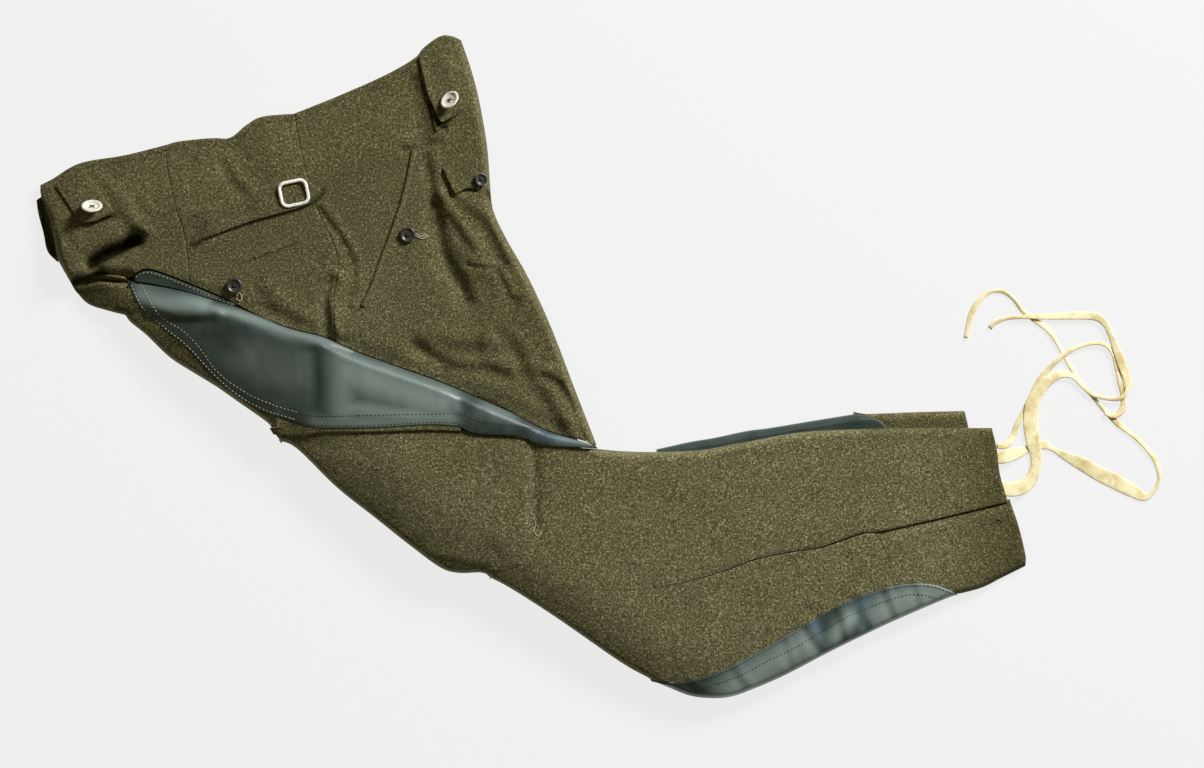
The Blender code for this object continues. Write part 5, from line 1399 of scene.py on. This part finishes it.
# Places of painted shade: the deepest folds, the under waist, the seat's outline and the shadows beside the
# belt tabs, strap and flap
PAINTED_SHADE_PATCHES = (
    Patch(((92, 264.5), (99, 258.5), (110, 253.5), (122, 248), (133, 242), (138, 239.5)), 6.2, 1.0, 4),
    Patch(((74, 281), (86, 279), (97, 273.5), (105, 273)), 3.4, 0.9, 3),
    Patch(((76, 292), (90, 290), (104, 290)), 3.2, 0.45),
    Patch(((118, 309), (134, 312.5)), 3.2, 0.5),
    Patch(((38, 203), (43, 222), (48, 240), (53, 254)), 4.2, 0.8, 3),
    Patch(((103, 219), (116, 215)), 3.0, 0.8),
    Patch(((430, 106), (434, 117), (440, 125), (446, 127)), 3.4, 0.9, 3),
    Patch(((417, 76), (426, 97), (431, 108)), 2.6, 0.5),
    Patch(((193, 245), (202, 242.5)), 3.0, 0.75),
    Patch(((313, 203), (320, 198), (325, 190)), 2.6, 0.6),
    Patch(((487, 191), (494, 203)), 2.8, 0.8),
)
BLUISH = (
    Patch(((815, 618), (822, 650)), 9.0, 0.8),
    Patch(((862, 600), (868, 624)), 9.0, 0.9),
    Patch(((893, 592), (898, 612)), 7.0, 0.7),
    Patch(((740, 665), (760, 680)), 14.0, 0.4),
    Patch(((540, 432), (570, 444)), 9.0, 0.5),
)
LEATHER_MARKS = (("wear_and_highlight", WEAR_AND_PAINTED_HIGHLIGHT), ("blue", BLUISH))
CLOTH_MARKS = (("darkened_and_painted_shade", DARKER_AND_PAINTED_SHADE), ("painted_shade", PAINTED_SHADE_PATCHES))


def marked_wear_and_painted_light(piece, marks):
    """Marks the worn, bluish and darker places of a piece, and its places of painted shade and painted
    highlight, as attributes of its points.
    """
    places = np.array([v.co for v in piece.data.vertices]) / MM
    points = np.stack([PLAN_CENTRE[0] + places[:, 0], PLAN_CENTRE[1] - places[:, 1]], axis=-1)
    for name, patches in marks:
        value = np.zeros(len(points))
        for row in patches:
            near = np.exp(-((distance_to(row.line, points) / row.reach) ** row.crispness))
            value = np.maximum(value, row.strength * near)
        attribute = piece.data.attributes.new(name, "FLOAT", "POINT")
        attribute.data.foreach_set("value", value.astype(np.float32))


# Height of the camera over the garment's own middle height, and the end of its sight, in metres
CAMERA_HEIGHT = 8.0
GARMENT_MIDDLE = 0.01
SIGHT = 60.0
FRAME_WIDTH = 1.204
FRAME_CENTRE = (602.0, 384.0)
SENSOR = 36.0
FLOOR_REACH = 8.0
FLOOR_COLOUR = "#f3f3f3"
# Share of the light that the floor takes; the rest of its tone is its own
FLOOR_BASE = 0.08
FLOOR_GLOW = 0.895
AIR_COLOUR = (1.0, 0.94, 0.55, 1.0)
AIR_STRENGTH = 0.1
# Name, place, diameter, power in watts and colour of each light
LIGHTS = (
    ("key_light", (2.2, 2.5, 1.8), 1.0, 256.0, (1.0, 1.0, 1.03)),
    ("fill_light", (-1.9, -0.6, 2.4), 1.8, 6.0, (1.0, 0.94, 0.6)),
)


def studio():
    """A pale floor, a soft key light from the upper right, a weak fill, and the camera straight above."""
    place = in_metres(np.array([FRAME_CENTRE]), np.array([0.0]))[0]
    data = bpy.data.cameras.new("camera")
    data.sensor_width = SENSOR
    data.lens = SENSOR * CAMERA_HEIGHT / FRAME_WIDTH
    data.clip_end = SIGHT
    camera = bpy.data.objects.new("camera", data)
    camera.location = (place[0], place[1], CAMERA_HEIGHT + GARMENT_MIDDLE)
    bpy.context.scene.collection.objects.link(camera)
    bpy.context.scene.camera = camera
    made = new_material("studio_floor", Roughness=1.0, Specular_IOR_Level=0.0,
                        Base_Color=(FLOOR_BASE, FLOOR_BASE, FLOOR_BASE, 1.0),
                        Emission_Color=linear(FLOOR_COLOUR), Emission_Strength=FLOOR_GLOW)[0]
    corners = [(x * FLOOR_REACH, y * FLOOR_REACH, 0) for x, y in ((-1, -1), (1, -1), (1, 1), (-1, 1))]
    new_piece("floor", corners, [(0, 1, 2, 3)], made)
    world = bpy.data.worlds.new("studio_air")
    world.use_nodes = True
    air = world.node_tree.nodes["Background"]
    air.inputs["Color"].default_value = AIR_COLOUR
    air.inputs["Strength"].default_value = AIR_STRENGTH
    bpy.context.scene.world = world
    for name, spot, size, power, colour in LIGHTS:
        light = bpy.data.lights.new(name, "AREA")
        light.shape = "DISK"
        light.size = size
        light.energy = power
        light.color = colour
        lamp = bpy.data.objects.new(name, light)
        lamp.location = spot
        lamp.rotation_euler = (-Vector(spot)).to_track_quat("-Z", "Y").to_euler()
        bpy.context.scene.collection.objects.link(lamp)
    bpy.context.scene.view_settings.view_transform = "Standard"


def dress():
    """Makes the studio, the finishes and every piece, and lets the hidden layers show as wool."""
    studio()
    wool = milled_wool()
    leather = strapping_leather()
    threads = {
        "pale": sewing_thread("pale_linen_thread", "#cfcbb4", "#96927c"),
        "dark": sewing_thread("dark_thread", "#3b3d33", "#171813"),
        "olive": sewing_thread("olive_thread", "#4a4930", "#28281a"),
    }
    hidden_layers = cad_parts["hidden_layers"]
    hidden_layers.data.materials.clear()
    hidden_layers.data.materials.append(wool)
    tapes(cotton_tape())
    hip_panels(wool)
    under_waist(wool)
    seat_and_thigh(wool, leather)
    left_leg(wool, leather)
    right_calf(wool, leather)
    hip_trims(wool)
    white = cast_button("white_button_plastic", "#dddbcd", "#bcb9a8", 0.3)
    dark = cast_button("dark_button_horn", "#2c2a26", "#46423a", 0.35)
    for row in WHITE_BUTTONS:
        button(row, white, threads["dark"], "white_button")
    for row in DARK_BUTTONS:
        button(row, dark, threads["dark"], "dark_button")
    buckle(enamelled_buckle())
    stitches(threads)
    loose_threads(threads["pale"])
    eyelets(eyelet_metal())


dress()
